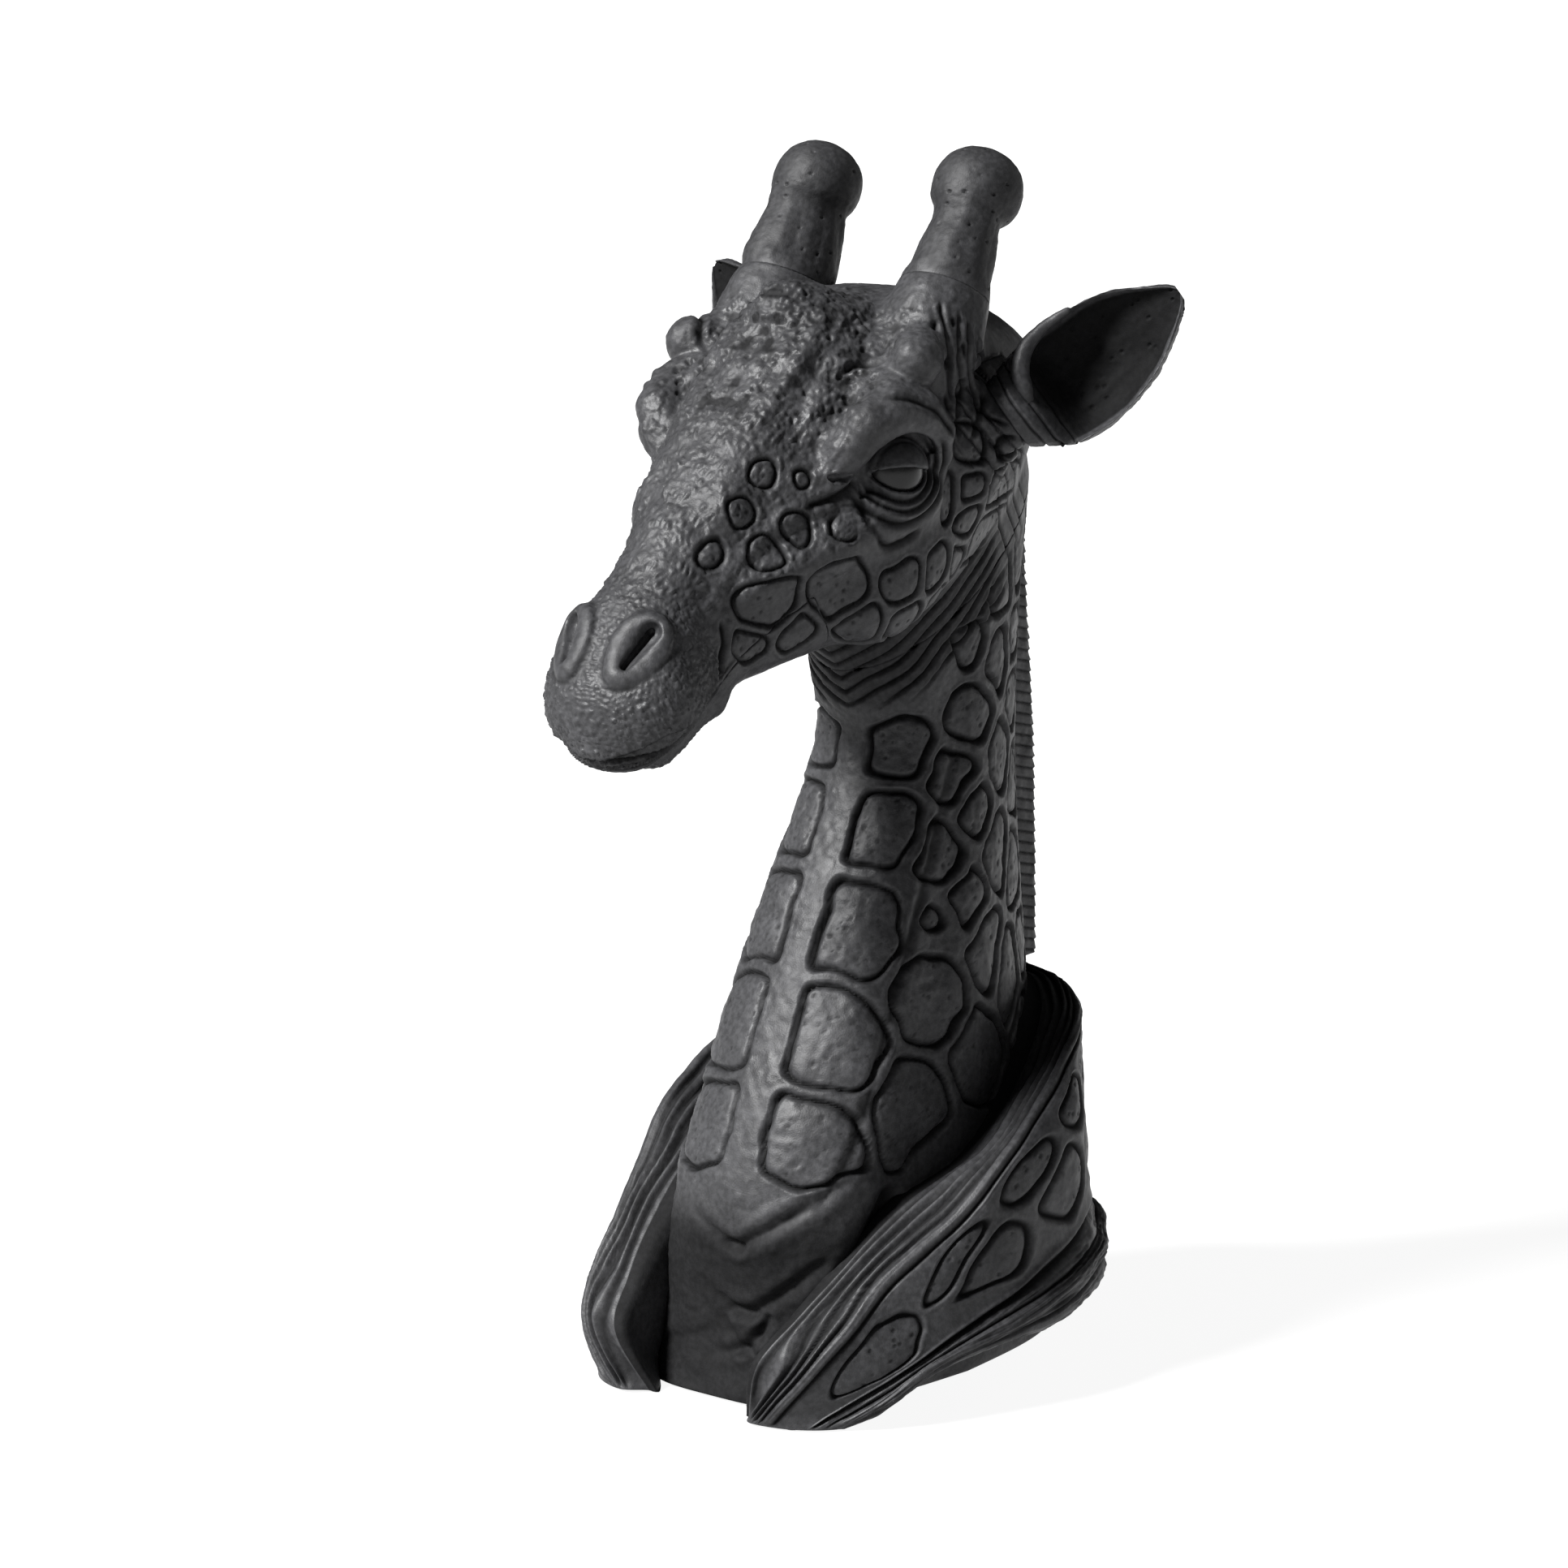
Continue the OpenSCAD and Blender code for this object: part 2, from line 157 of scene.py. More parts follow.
def vertex_normals(v, faces):
    """The outward direction at each vertex, from the faces round it."""
    a, b, c, d = (v[faces[:, k]] for k in (0, 1, 2, -1))
    n = np.cross(c - a, d - b)
    out = np.zeros_like(v)
    for k in range(faces.shape[1]):
        for ax in range(3):
            out[:, ax] += np.bincount(faces[:, k], n[:, ax], len(v))
    return unit(out)


def make(name, v, faces, node, groove, material):
    """A piece that replaces a CAD node; groove is how much painted shade and dulling each vertex gets,
    strongest in cuts, folds, pits and hollows.
    """
    mesh = bpy.data.meshes.new(name)
    mesh.vertices.add(len(v))
    mesh.vertices.foreach_set("co", (v * MM).astype(np.float32).ravel())
    size = faces.shape[1]
    mesh.loops.add(len(faces) * size)
    mesh.loops.foreach_set("vertex_index", faces.astype(np.int32).ravel())
    mesh.polygons.add(len(faces))
    mesh.polygons.foreach_set("loop_start", np.arange(0, len(faces) * size, size, dtype=np.int32))
    mesh.polygons.foreach_set("use_smooth", np.ones(len(faces), bool))
    mesh.update(calc_edges=True)
    if groove is not None:
        # The painted shade goes on as a vertex attribute, which the wood's material turns into darker,
        # duller colour.
        layer = mesh.attributes.new("groove", "FLOAT", "POINT")
        layer.data.foreach_set("value", groove.astype(np.float32))
    piece = bpy.data.objects.new(name, mesh)
    bpy.context.scene.collection.objects.link(piece)
    mesh.materials.append(material)
    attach(piece, "root")
    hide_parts(node)


def grid_faces(rows, cols):
    """Quads between the rings of a tube."""
    r = np.arange(rows - 1)[:, None]
    c = np.arange(cols)[None, :]
    nxt = (c + 1) % cols
    a, b = r * cols + c, r * cols + nxt
    return np.stack([a, b, b + cols, a + cols], -1).reshape(-1, 4)


# --- The head's own axes --------------------------------------------------------------

PITCH = math.radians(36)  # how far the face points down
CP, SP = math.cos(PITCH), math.sin(PITCH)
HEAD_Y, HEAD_Z = 10, 385  # where the head's axes cross
JOINT_T = -61  # height of the glue joint between head and neck


def to_head(p):
    """Places in the head's axes: x to the left, s forward along the face, t up from it."""
    y, z = p[..., 1] - HEAD_Y, p[..., 2] - HEAD_Z
    return np.stack([p[..., 0], -y * CP - z * SP, -y * SP + z * CP], -1)


def from_head(h):
    """Places in the head's axes, back in the object's."""
    s, t = h[..., 1], h[..., 2]
    return np.stack([h[..., 0], HEAD_Y - s * CP - t * SP, HEAD_Z - s * SP + t * CP], -1)


class Field:
    """A signed distance on a grid over half the head: x to the left, s forward, t up."""

    def __init__(self, low, high, voxel):
        self.low, self.voxel = np.array(low, float), voxel
        self.axes = [np.arange(a, b + voxel / 2, voxel, dtype=np.float32) for a, b in zip(low, high)]
        self.value = np.full([len(a) for a in self.axes], 50, np.float32)

    def part(self, low, high):
        """The cells inside a box, and their places."""
        cut = tuple(
            slice(max(int((a - g[0]) / self.voxel), 0), max(int((b - g[0]) / self.voxel) + 2, 0))
            for a, b, g in zip(low, high, self.axes)
        )
        x, s, t = (g[c] for g, c in zip(self.axes, cut))
        return cut, x[:, None, None], s[None, :, None], t[None, None, :]

    def add(self, shape, low, high, k):
        cut, x, s, t = self.part(low, high)
        self.value[cut] = smin(self.value[cut], shape(x, s, t), k)

    def carve(self, shape, low, high, k):
        cut, x, s, t = self.part(low, high)
        self.value[cut] = smax(self.value[cut], -shape(x, s, t), k)

    def add_rod(self, a, b, ra, rb, k):
        low, high = rod_box(a, b, max(ra, rb) + 2 * k)
        self.add(rod(a, b, ra, rb), low, high, k)

    def carve_rod(self, a, b, ra, rb, k):
        low, high = rod_box(a, b, max(ra, rb) + 2 * k)
        self.carve(rod(a, b, ra, rb), low, high, k)

    def add_egg(self, c, r, k):
        reach = np.array(r) + 2 * k
        self.add(egg(c, r), np.array(c) - reach, np.array(c) + reach, k)

    def carve_egg(self, c, r, k):
        reach = np.array(r) + 2 * k
        self.carve(egg(c, r), np.array(c) - reach, np.array(c) + reach, k)

    def at(self, p):
        """The field's value at each place, on either side of the head."""
        q = (np.abs(p) * (1, 0, 0) + p * (0, 1, 1) - self.low) / self.voxel
        q = np.clip(q, 0, np.array(self.value.shape) - 1.001)
        i = q.astype(int)
        f = q - i
        total = 0
        for corner in np.ndindex(2, 2, 2):
            weight = np.prod(np.where(corner, f, 1 - f), -1)
            total = total + weight * self.value[tuple((i + corner).T)]
        return total

    def slope(self, p):
        """The outward direction at each place, and 1 on the skin, 0 on faces cut through it."""
        h = 0.8 * self.voxel
        g = np.stack([self.at(p + h * a) - self.at(p - h * a) for a in np.eye(3)], -1)
        return unit(g), fall(np.abs(self.at(p)), 0.35, 0.9)

    def mesh(self):
        """Vertices and quads of the whole surface, both sides."""
        whole = np.concatenate([self.value[:0:-1], self.value], 0)
        whole = np.clip(whole, -3 * self.voxel, 3 * self.voxel)
        grid = openvdb.FloatGrid(3 * self.voxel)
        grid.copyFromArray(whole)
        points, quads = grid.convertToQuads(isovalue=0.0)
        low = np.array([-self.axes[0][-1], self.low[1], self.low[2]])
        return points * self.voxel + low, quads[:, ::-1].astype(np.int64)


def rod_box(a, b, reach):
    """The box round a rod, with room for its blend."""
    return np.minimum(a, b) - reach, np.maximum(a, b) + reach


def rod(a, b, ra, rb):
    """A capsule that changes radius from a to b."""
    a, b = np.array(a, float), np.array(b, float)
    ab = b - a

    def shape(x, s, t):
        h = ((x - a[0]) * ab[0] + (s - a[1]) * ab[1] + (t - a[2]) * ab[2]) / (ab @ ab)
        h = np.clip(h, 0, 1)
        dx, ds, dt = x - a[0] - ab[0] * h, s - a[1] - ab[1] * h, t - a[2] - ab[2] * h
        return np.sqrt(dx * dx + ds * ds + dt * dt) - (ra + (rb - ra) * h)

    return shape


def egg(c, r):
    """An ellipsoid."""

    def shape(x, s, t):
        u, v, w = (x - c[0]) / r[0], (s - c[1]) / r[1], (t - c[2]) / r[2]
        k0 = np.sqrt(u * u + v * v + w * w) + 1e-6
        k1 = np.sqrt((u / r[0]) ** 2 + (v / r[1]) ** 2 + (w / r[2]) ** 2) + 1e-9
        return k0 * (k0 - 1) / k1

    return shape


# --- Head -----------------------------------------------------------------------------

VOXEL = 0.7
JAW_S, MOUTH_T = 104.0, 12.0
EYE = np.array([51.7, 49.9, 30.0])
EYE_R = 11.6
LID_R = 13.6
OSS_KNOB = np.array([39.8, 23.4, 483.5])
OSS_FOOT = np.array([40.0, 1.4, 445.0])
OSS_AXIS = (OSS_KNOB - OSS_FOOT) / np.linalg.norm(OSS_KNOB - OSS_FOOT)
OSS_LEN = 45.0
OSS_JOINT = OSS_KNOB - OSS_LEN * OSS_AXIS
EAR_ROOT = np.array([61.0, 15.0, 397.0])
EAR_TIP = np.array([115.0, 52.0, 445.0])

# s, top t, widest t, bottom t, half width, squareness above, squareness below
HEAD_STATIONS = np.array([
    [204, 20, 18, 15, 4, 2.0, 2.0],
    [201, 27, 17, 8, 18, 2.2, 2.2],
    [195, 35, 17, 6, 26, 2.4, 2.4],
    [186, 43, 20, 8, 31, 2.5, 2.5],
    [175, 51, 21, 8, 33, 2.6, 2.5],
    [160, 55, 22, 2, 30.5, 2.5, 2.5],
    [148, 57, 22, -4, 27, 2.3, 2.6],
    [136, 60, 20, -8, 27, 2.2, 2.7],
    [121, 64, 16, -14, 32, 2.1, 3.0],
    [103, 68, 12, -21, 40, 2.0, 3.4],
    [85, 72, 10, -29, 47, 2.0, 3.6],
    [70, 75, 8, -34, 52, 2.0, 3.6],
    [51, 78, 7, -39, 55.5, 2.0, 3.4],
    [27, 79, 8, -43, 57, 2.1, 3.2],
    [8, 75, 12, -45, 57, 2.1, 2.8],
    [-12, 65, 16, -46, 56, 2.2, 2.5],
    [-32, 52, 12, -49, 53, 2.3, 2.3],
    [-52, 34, 2, -50, 46, 2.2, 2.2],
    [-68, 12, -12, -44, 33, 2.0, 2.0],
    [-77, -2, -18, -39, 21, 2.0, 2.0],
    [-81, -14, -23, -32, 7, 2.0, 2.0],
    [-83, -20, -24, -28, 3, 2.0, 2.0],
])


def skull(x, s, t):
    """The head's main form: a rounded section that changes along s."""
    k = HEAD_STATIONS[:, 0]
    top, mid, low, wide, up, down = (profile(k, HEAD_STATIONS[:, n], s, 5) for n in range(1, 7))
    c = t - mid
    above = c > 0
    n = np.where(above, up, down)
    half = np.where(above, top - mid, mid - low)
    r = ((np.abs(x) / wide) ** n + (np.abs(c) / half) ** n) ** (1 / n) + 1e-4
    rho = np.sqrt(x * x + c * c)
    return np.maximum(0.85 * (rho - rho / r), np.maximum(s - 204.5, -82.5 - s))


def neck_stub(x, s, t):
    """The top of the neck where it runs up into the head."""
    h = np.clip((t - JOINT_T) / 49, 0, 1)
    keys = [0, 0.22, 0.6, 1]
    front = profile(keys, [74, 74, 70, 56], h)
    back = profile(keys, [-66, -69, -70, -62], h)
    wide = profile(keys, [38, 40, 43, 40], h)
    mid, half = (front + back) / 2, (front - back) / 2
    c = (s - mid) / half
    egg_w = wide * (1 + 0.12 * np.clip(c, -1, 1))
    r = np.sqrt((x / egg_w) ** 2 + c * c) + 1e-4
    rho = np.sqrt(x * x + (s - mid) ** 2)
    return np.maximum(rho - rho / r, t + 6)


# The eye's own directions: outwards, up, and forwards along the slit.
EYE_OUT = np.array([0.92, 0.39 * CP, 0.39 * SP])
EYE_UP = np.array([0.0, -SP, CP])
EYE_ALONG = np.cross(EYE_UP, EYE_OUT)


def eye_parts(x, s, t):
    """How far out, up and along a place is from the middle of the eye."""
    d = (x - EYE[0], s - EYE[1], t - EYE[2])
    return [sum(a * b for a, b in zip(d, v)) for v in (EYE_OUT, EYE_UP, EYE_ALONG)]


def eye_opening(x, s, t):
    """The slit between the lids, which widens outwards."""
    out, up, along = eye_parts(x, s, t)
    reach = out - 2.5
    front = np.clip(along / 13, -1, 1)
    upper = up - (0.27 + 0.05 * front) * reach
    lower = -up - (1.0 - 0.15 * front) * reach
    return np.maximum(np.maximum(upper, lower), 1.0 - reach) * 0.8


def brow_fold(x, s, t):
    """The deep fold between the brow and the upper lid."""
    out, up, along = eye_parts(x, s, t)
    r = np.sqrt(out * out + up * up + along * along)
    return np.maximum(np.maximum(r - LID_R - 5.6, 2.5 - out), -1.0 - up - 0.5 * along)


# The brow's arch: degrees round the eye from straight up towards the nose, distance, how far out; radius
ARCH = [
    ((104, 34, -4), 3.0), ((88, 27, 0), 5.0), ((66, 24, 3.5), 7.5), ((38, 23.5, 5.5), 9.0),
    ((8, 23.5, 5.5), 9.2), ((-22, 23, 4.5), 8.6), ((-50, 22, 2), 7.2), ((-76, 21.5, -2), 5.0),
    ((-98, 23, -6), 3.0),
]


def brow_place(degrees, distance, out):
    """A place round the eye, as in ARCH."""
    a = math.radians(degrees)
    return tuple(EYE + distance * (math.cos(a) * EYE_UP + math.sin(a) * EYE_ALONG) + out * EYE_OUT)


# The left nostril: its middle, and its directions along, outwards and across.
NOSE = np.array([14.8, 174.0, 45.6])
NOSE_OUT = unit(np.array([[0.42, 0.36, 0.83]]))[0]
NOSE_ALONG = np.cross(unit(np.cross([[0.26, -0.91, 0.33]], NOSE_OUT))[0], -NOSE_OUT)
NOSE_ACROSS = np.cross(NOSE_ALONG, NOSE_OUT)


def nose(u, w, h):
    """A place at the nostril: along, across and out of it."""
    return tuple(NOSE + u * NOSE_ALONG + w * NOSE_ACROSS + h * NOSE_OUT)


def build_head():
    """The head's whole form before it is cut into blocks and carved."""
    f = Field((0, -88, -66), (76, 209, 94), VOXEL)
    f.add(skull, (0, -90, -70), (80, 215, 100), 0.1)
    # Muzzle, lips and chin
    f.add_egg((0, 181, 24), (31, 22, 21), 8)
    f.add_egg((0, 191, 12), (22, 15, 11), 5)
    f.add_egg((0, 176, 4), (21, 21, 11), 1.2)
    f.add_rod((9, 154, 2), (8, 182, 2), 12, 9, 5)
    # Nostril: a raised ring round a bowl, with a slit and a low ridge inside it
    ring = []
    for a in np.linspace(0, math.tau, 17):
        c, s = math.cos(a), math.sin(a)
        ring.append(nose(12.2 * c, 6.8 * s * (1 + 0.25 * c), -0.4 - 0.6 * s**2))
    for a, b in zip(ring, ring[1:]):
        f.add_rod(a, b, 3.9, 3.9, 3.4)
    f.carve_rod(nose(8.5, -1.2, 3.4), nose(-8, -0.2, 3.0), 3.5, 1.4, 2.2)
    f.carve_rod(nose(9.5, 0.6, -1.5), nose(-12, 0.6, 2.2), 2.0, 0.9, 0.6)
    f.carve_rod(nose(9.5, 0.6, -6), nose(-11, 0.6, -2), 2.0, 0.9, 0.6)
    f.add_rod(nose(8, -2.6, -1.6), nose(-9, -0.8, 0.6), 1.3, 0.8, 0.8)
    # Cheekbone, jaw muscle and the long crest down the face
    f.add_rod((43, 86, 22), (54, 46, 14), 7, 9, 10)
    f.add_rod((30, 122, 33), (43, 86, 24), 5, 7, 8)
    f.add_egg((37, 56, -12), (17.5, 40, 26), 9)
    # Brow: the arch over the eye, the knob behind it and the ridge up to the ossicone
    for (a, ra), (b, rb) in zip(ARCH, ARCH[1:]):
        f.add_rod(brow_place(*a), brow_place(*b), ra, rb, 5)
    f.add_egg((47, 30, 50), (13, 15, 12), 8)
    f.add_egg((55.5, 17.3, 58.8), (10.5, 10.5, 10.5), 2.5)
    f.add_rod((46, 12, 53), (43, -14, 56), 10, 13, 9)
    # Forehead: a raised middle with a knob at its top, and the nose ridge below
    f.add_egg((0, 16, 71), (20, 18, 18), 5)
    f.add_egg((10, 26, 60), (20, 34, 20), 7)
    f.add_rod((10, 60, 63), (18, 108, 57), 10, 5, 9)
    f.add_rod((40, -8, 44), tuple(to_head(OSS_JOINT - 4 * OSS_AXIS)), 21, 18.9, 6)
    # Root of the ear, on a ringed stump
    root = to_head(EAR_ROOT)
    ear_dir = unit((to_head(EAR_TIP) - root)[None])[0]
    f.add_rod(tuple(root - 26 * ear_dir), tuple(root - 6 * ear_dir), 22, 15, 9)
    # How far the neck blends into the jaw and nape: nothing at the joint, so both blocks meet.
    cut, x, s, t = f.part((0, -90, -70), (80, 90, 0))
    k = 1 + 13 * step(t, JOINT_T + 2, JOINT_T + 22)
    f.value[cut] = smin(f.value[cut], neck_stub(x, s, t), k)
    # Hollows: under the muzzle's back edge, beside the forehead, behind the eye
    f.carve_rod((34, 152, 42), (35, 147, 18), 4, 5, 5)
    f.carve_rod((38, 48, 86), (36, 14, 84), 5, 6, 9)
    f.carve_egg((70, 12, 14), (8, 12, 16), 8)
    f.carve_egg((70, -6, 28), (10, 9, 14), 8)
    # The cheek under the eye, the fold below the brow, and the lids over the eyeball
    f.add_egg(tuple(EYE - 8 * EYE_UP - 5 * EYE_OUT), (12, 17, 12), 7)
    f.carve(brow_fold, EYE - 22, EYE + 22, 1.4)
    f.add_egg(tuple(EYE), (LID_R,) * 3, 1.4)
    f.carve(eye_opening, EYE - 24, EYE + 24, 0.5)
    f.carve(egg(tuple(EYE), (EYE_R + 0.15,) * 3), EYE - 18, EYE + 18, 0.3)
    # Flat glue faces for the ossicone and the ear
    for point, axis in ((to_head(OSS_JOINT), to_head(OSS_JOINT + OSS_AXIS)), (root, root + ear_dir)):
        n = axis - point

        def beyond(x, s, t, p=point, n=n):
            along = (x - p[0]) * n[0] + (s - p[1]) * n[1] + (t - p[2]) * n[2]
            off = np.sqrt((x - p[0]) ** 2 + (s - p[1]) ** 2 + (t - p[2]) ** 2)
            return np.maximum(-along, off - 24)

        f.carve(beyond, point - 26, point + 26, 0.2)
    return f


def cut_head(f):
    """The carved head cut into its two blocks: everything above the neck joint, less the lower jaw."""
    whole = f.value
    _, _, s, t = f.part(f.low, f.low + 1e4)
    jaw_box = np.maximum(JAW_S - s, t - MOUTH_T)
    above_joint = np.maximum(whole, JOINT_T - t)
    f.value = np.maximum(above_joint, 0.1 - jaw_box)
    head = f.mesh()
    f.value = np.maximum(above_joint, jaw_box)
    jaw = f.mesh()
    f.value = whole
    return head, jaw


# --- Carved detail --------------------------------------------------------------------


def tree_of(v):
    """A search tree of the vertices."""
    tree = KDTree(len(v))
    for n, p in enumerate(v):
        tree.insert(p, n)
    tree.balance()
    return tree


def trace(points, tree=None):
    """A smooth line through the points, dropped onto the surface."""
    points = np.array(points, float)
    count = max(int(length(np.diff(points, axis=0)).sum() / 1.2), 4)
    line = curve(points, np.linspace(0, 1, count))
    if tree is not None:
        line = np.array([tree.find(p)[0] for p in line])
        for _ in range(3):
            line[1:-1] = 0.5 * line[1:-1] + 0.25 * (line[:-2] + line[2:])
    return line


def near(p, line, reach):
    """The rows of p within reach of a line: their numbers, distances and how far along it."""
    inside = np.nonzero(np.all((p > line.min(0) - reach) & (p < line.max(0) + reach), axis=1))[0]
    q = p[inside]
    best, place = np.full(len(q), 1e9), np.zeros(len(q))
    for n, (a, b) in enumerate(zip(line, line[1:])):
        ab = b - a
        u = np.clip((q - a) @ ab / (ab @ ab + 1e-9), 0, 1)
        d = length(q - a - u[:, None] * ab)
        closer = d < best
        best[closer] = d[closer]
        place[closer] = (n + u[closer]) / (len(line) - 1)
    keep = best < reach
    return inside[keep], best[keep], place[keep]


class Relief:
    """How far each vertex is pushed out, and how much painted shade and dulling it gets in its cuts and
    hollows.
    """

    def __init__(self, p, normals):
        self.p, self.normals = p, normals
        self.push = np.zeros(len(p))
        # Painted shade: how much darker and duller each vertex is coloured where shade would fall in a cut
        # or hollow.
        self.painted_shade_and_dulling = np.zeros(len(p))

    def add(self, amount, where=1.0):
        self.push += amount * where

    def paint_shade_and_dull(self, amount):
        """Painted shade and dulling: keeps the stronger of two."""
        self.painted_shade_and_dulling = np.maximum(self.painted_shade_and_dulling, amount)

    def cut(self, line, depth, width, lip=0.25, ends=0.2):
        """A groove along a line, with slightly raised edges and painted shade down its middle."""
        i, d, u = near(self.p, line, 4 * width)
        fade = step(u, 0, ends) * fall(u, 1 - ends, 1)
        w = width * (0.5 + 0.5 * fade)
        self.push[i] += fade * depth * (lip * bell(d, 2.1 * w, 1.1 * w) - bell(d, 0, w))
        self.painted_shade_and_dulling[i] = np.maximum(self.painted_shade_and_dulling[i], fade * bell(d, 0, 0.8 * w) * min(depth, 1.2) / 1.2)

    def ridge(self, line, height, width, ends=0.25):
        """A low ridge along a line."""
        i, d, u = near(self.p, line, 3 * width)
        self.push[i] += height * step(u, 0, ends) * fall(u, 1 - ends, 1) * bell(d, 0, width)

    def pits(self, size, depth, where, seed=3, share=0.28):
        """Small round holes scattered about size apart, with painted shade in them."""
        i = np.nonzero(where > 0.01)[0]
        f1, _ = cells(self.p[i], size, seed)
        hole = np.zeros(len(self.p))
        hole[i] = fall(f1, 0.5 * share, share)
        self.push -= depth * hole * where
        self.paint_shade_and_dull(0.5 * hole * where)

    def patches(self, seeds, blanks, strap, where=1.0, depth=1.9, warp=1.4, scale=1.0, place=None):
        """Raised straps between sunk-edged patches, with painted shade in the sunk edges. A seed is a
        place, how far its patch outgrows its neighbours, and the most it reaches; a blank is a place that
        has none."""
        p = self.p if place is None else place
        p = p + warp * np.stack([noise(p, 9, k) for k in range(3)], -1)
        every = np.array([tuple(c) + (0, 99)[len(c) - 3:] for c in list(seeds) + list(blanks)], float)
        spots, grow, cap = every[:, :3], every[:, 3], every[:, 4]
        power = np.stack([((p - c) ** 2).sum(-1) - 30 * g for c, g in zip(spots, grow)], -1)
        own = power.argmin(-1)
        base = power[np.arange(len(p)), own]
        e = cap[own] - length(p - spots[own]) + strap / 2
        for n, c in enumerate(spots):
            b = (power[:, n] - base) / np.maximum(2 * length(spots[own] - c), 1e-6)
            b[own == n] = 1e3
            e = smin(e, b, 4.0 * scale)
        e = e - strap / 2 + 0.3 * noise(p, 5, 5)
        e = np.where((own < len(seeds)) & (e > -2), e, -2)
        groove = bell(e, 1.0 * scale, 0.85 * scale)
        dome = step(e, 0.5, 2) * (1 - np.exp(-np.maximum(e, 0) / (6 * scale)))
        sunk = -depth * groove + step(e, 0.3, 1.5) * (-0.4 * depth)
        shape = sunk + 0.75 * depth * dome + 0.3 * bell(e, -1.1, 0.9)
        self.push += shape * where
        # Painted shade in the sunk edge round each patch.
        self.paint_shade_and_dull(groove * where)
        return step(e, 0.5, 3) * where

    def result(self):
        return self.p + self.normals * self.push[:, None]


def pebbles(p, size, seed, where, flat=0.55):
    """Rounded grains parted by fine cracks, from 0 in a crack to 1 on top, worked out only where wanted."""
    out = np.zeros(len(p))
    i = np.nonzero(where > 0.01)[0]
    f1, f2 = cells(p[i], size, seed)
    out[i] = step(f2 - f1, 0, flat)
    return out


# --- Detail on the head ---------------------------------------------------------------

# Patches of the left cheek: x, s, t, then growth and most reach where they matter
CHEEK_PATCHES = [
    (28, 88, 61, 0, 7), (37, 80, 52, 0, 4.2), (28, 107, 57, 0, 8), (24, 126, 54, 0, 7.5),
    (33, 111, 40, 0, 9), (40, 96, 41, 0, 8), (49, 83, 31, 0, 7), (35, 121, 24, 2), (46, 96, 10, 2),
    (50, 71, -8), (52, 53, -19), (33, 136, 13), (41, 119, 3), (46, 95, -15), (49, 76, -26),
    (51, 54, -33), (53, 40, -26), (55, 28, -15),
    (57, 23, -2), (56, 34, 4), (60, 14, 12), (58, 8, -14), (54, 22, -34), (55, 0, 2),
    (60, 2, 30, 0, 6), (57, -13, 30, 0, 6), (58, -8, 14), (55, -20, 8),
]
CHEEK_BLANKS = [
    (0, 30, 84), (0, 60, 76), (0, 90, 70), (0, 120, 65), (14, 75, 73), (13, 98, 68), (12, 118, 64),
    (10, 140, 60), (50, 52, 34), (52, 68, 14), (55, 50, 8), (57, 34, 22), (47, 70, 38), (58, 20, 40),
    (50, 45, 58), (50, 18, 60), (32, 60, 66), (22, 60, 72), (30, 150, 30), (32, 150, 8),
    (30, 138, -8), (34, 112, -20), (30, 90, -32), (30, 60, -44), (30, 30, -50),
]


def throat_wrinkles(r, m):
    """Thick wrinkles under the jaw that follow its edge, on the head and on down the neck, with painted
    shade in their furrows and lighter painted shade over the whole band.
    """
    x, s, t = m.T
    line = t + 0.10 * s - 0.36 * x + 1.6 * noise(m, 16, 6) + 3.0 * bell(s, 45, 25)
    where = step(s, -4, 14) * fall(t + 0.05 * s, -43, -38) * step(t, -82, -74)
    wave = np.abs(np.sin(math.pi * line / 6.2))
    r.add(-1.7 * fall(wave, 0.05, 0.75) + 0.4, where)
    # Painted shade in the wrinkles' furrows, and lighter painted shade over the whole band under the jaw.
    r.paint_shade_and_dull(np.maximum(fall(wave, 0.1, 0.6), 0.4) * where)
    # Long thin folds behind the jaw, with painted shade in them
    for k, (s0, depth) in enumerate(((2, 1.2), (-7, 0.9), (-15, 1.1), (-24, 0.8))):
        line = s - s0 - 0.16 * (t + 20) - 1.5 * noise(m, 18, k)
        where = step(t, -78 + 3 * k, -62) * fall(t, 2 - 8 * k, 16 - 8 * k) * step(x, 25, 40)
        r.add(depth * (0.3 * bell(line, 2.2, 1.2) - bell(line, 0, 0.9)), where)
        r.paint_shade_and_dull(0.8 * bell(line, 0, 0.8) * where)


def eye_angle(h):
    """Distance from the middle of the eye, and the way round it from straight up."""
    out, up, along = eye_parts(h[:, 0], h[:, 1], h[:, 2])
    return length(h - EYE), np.arctan2(along, up), out


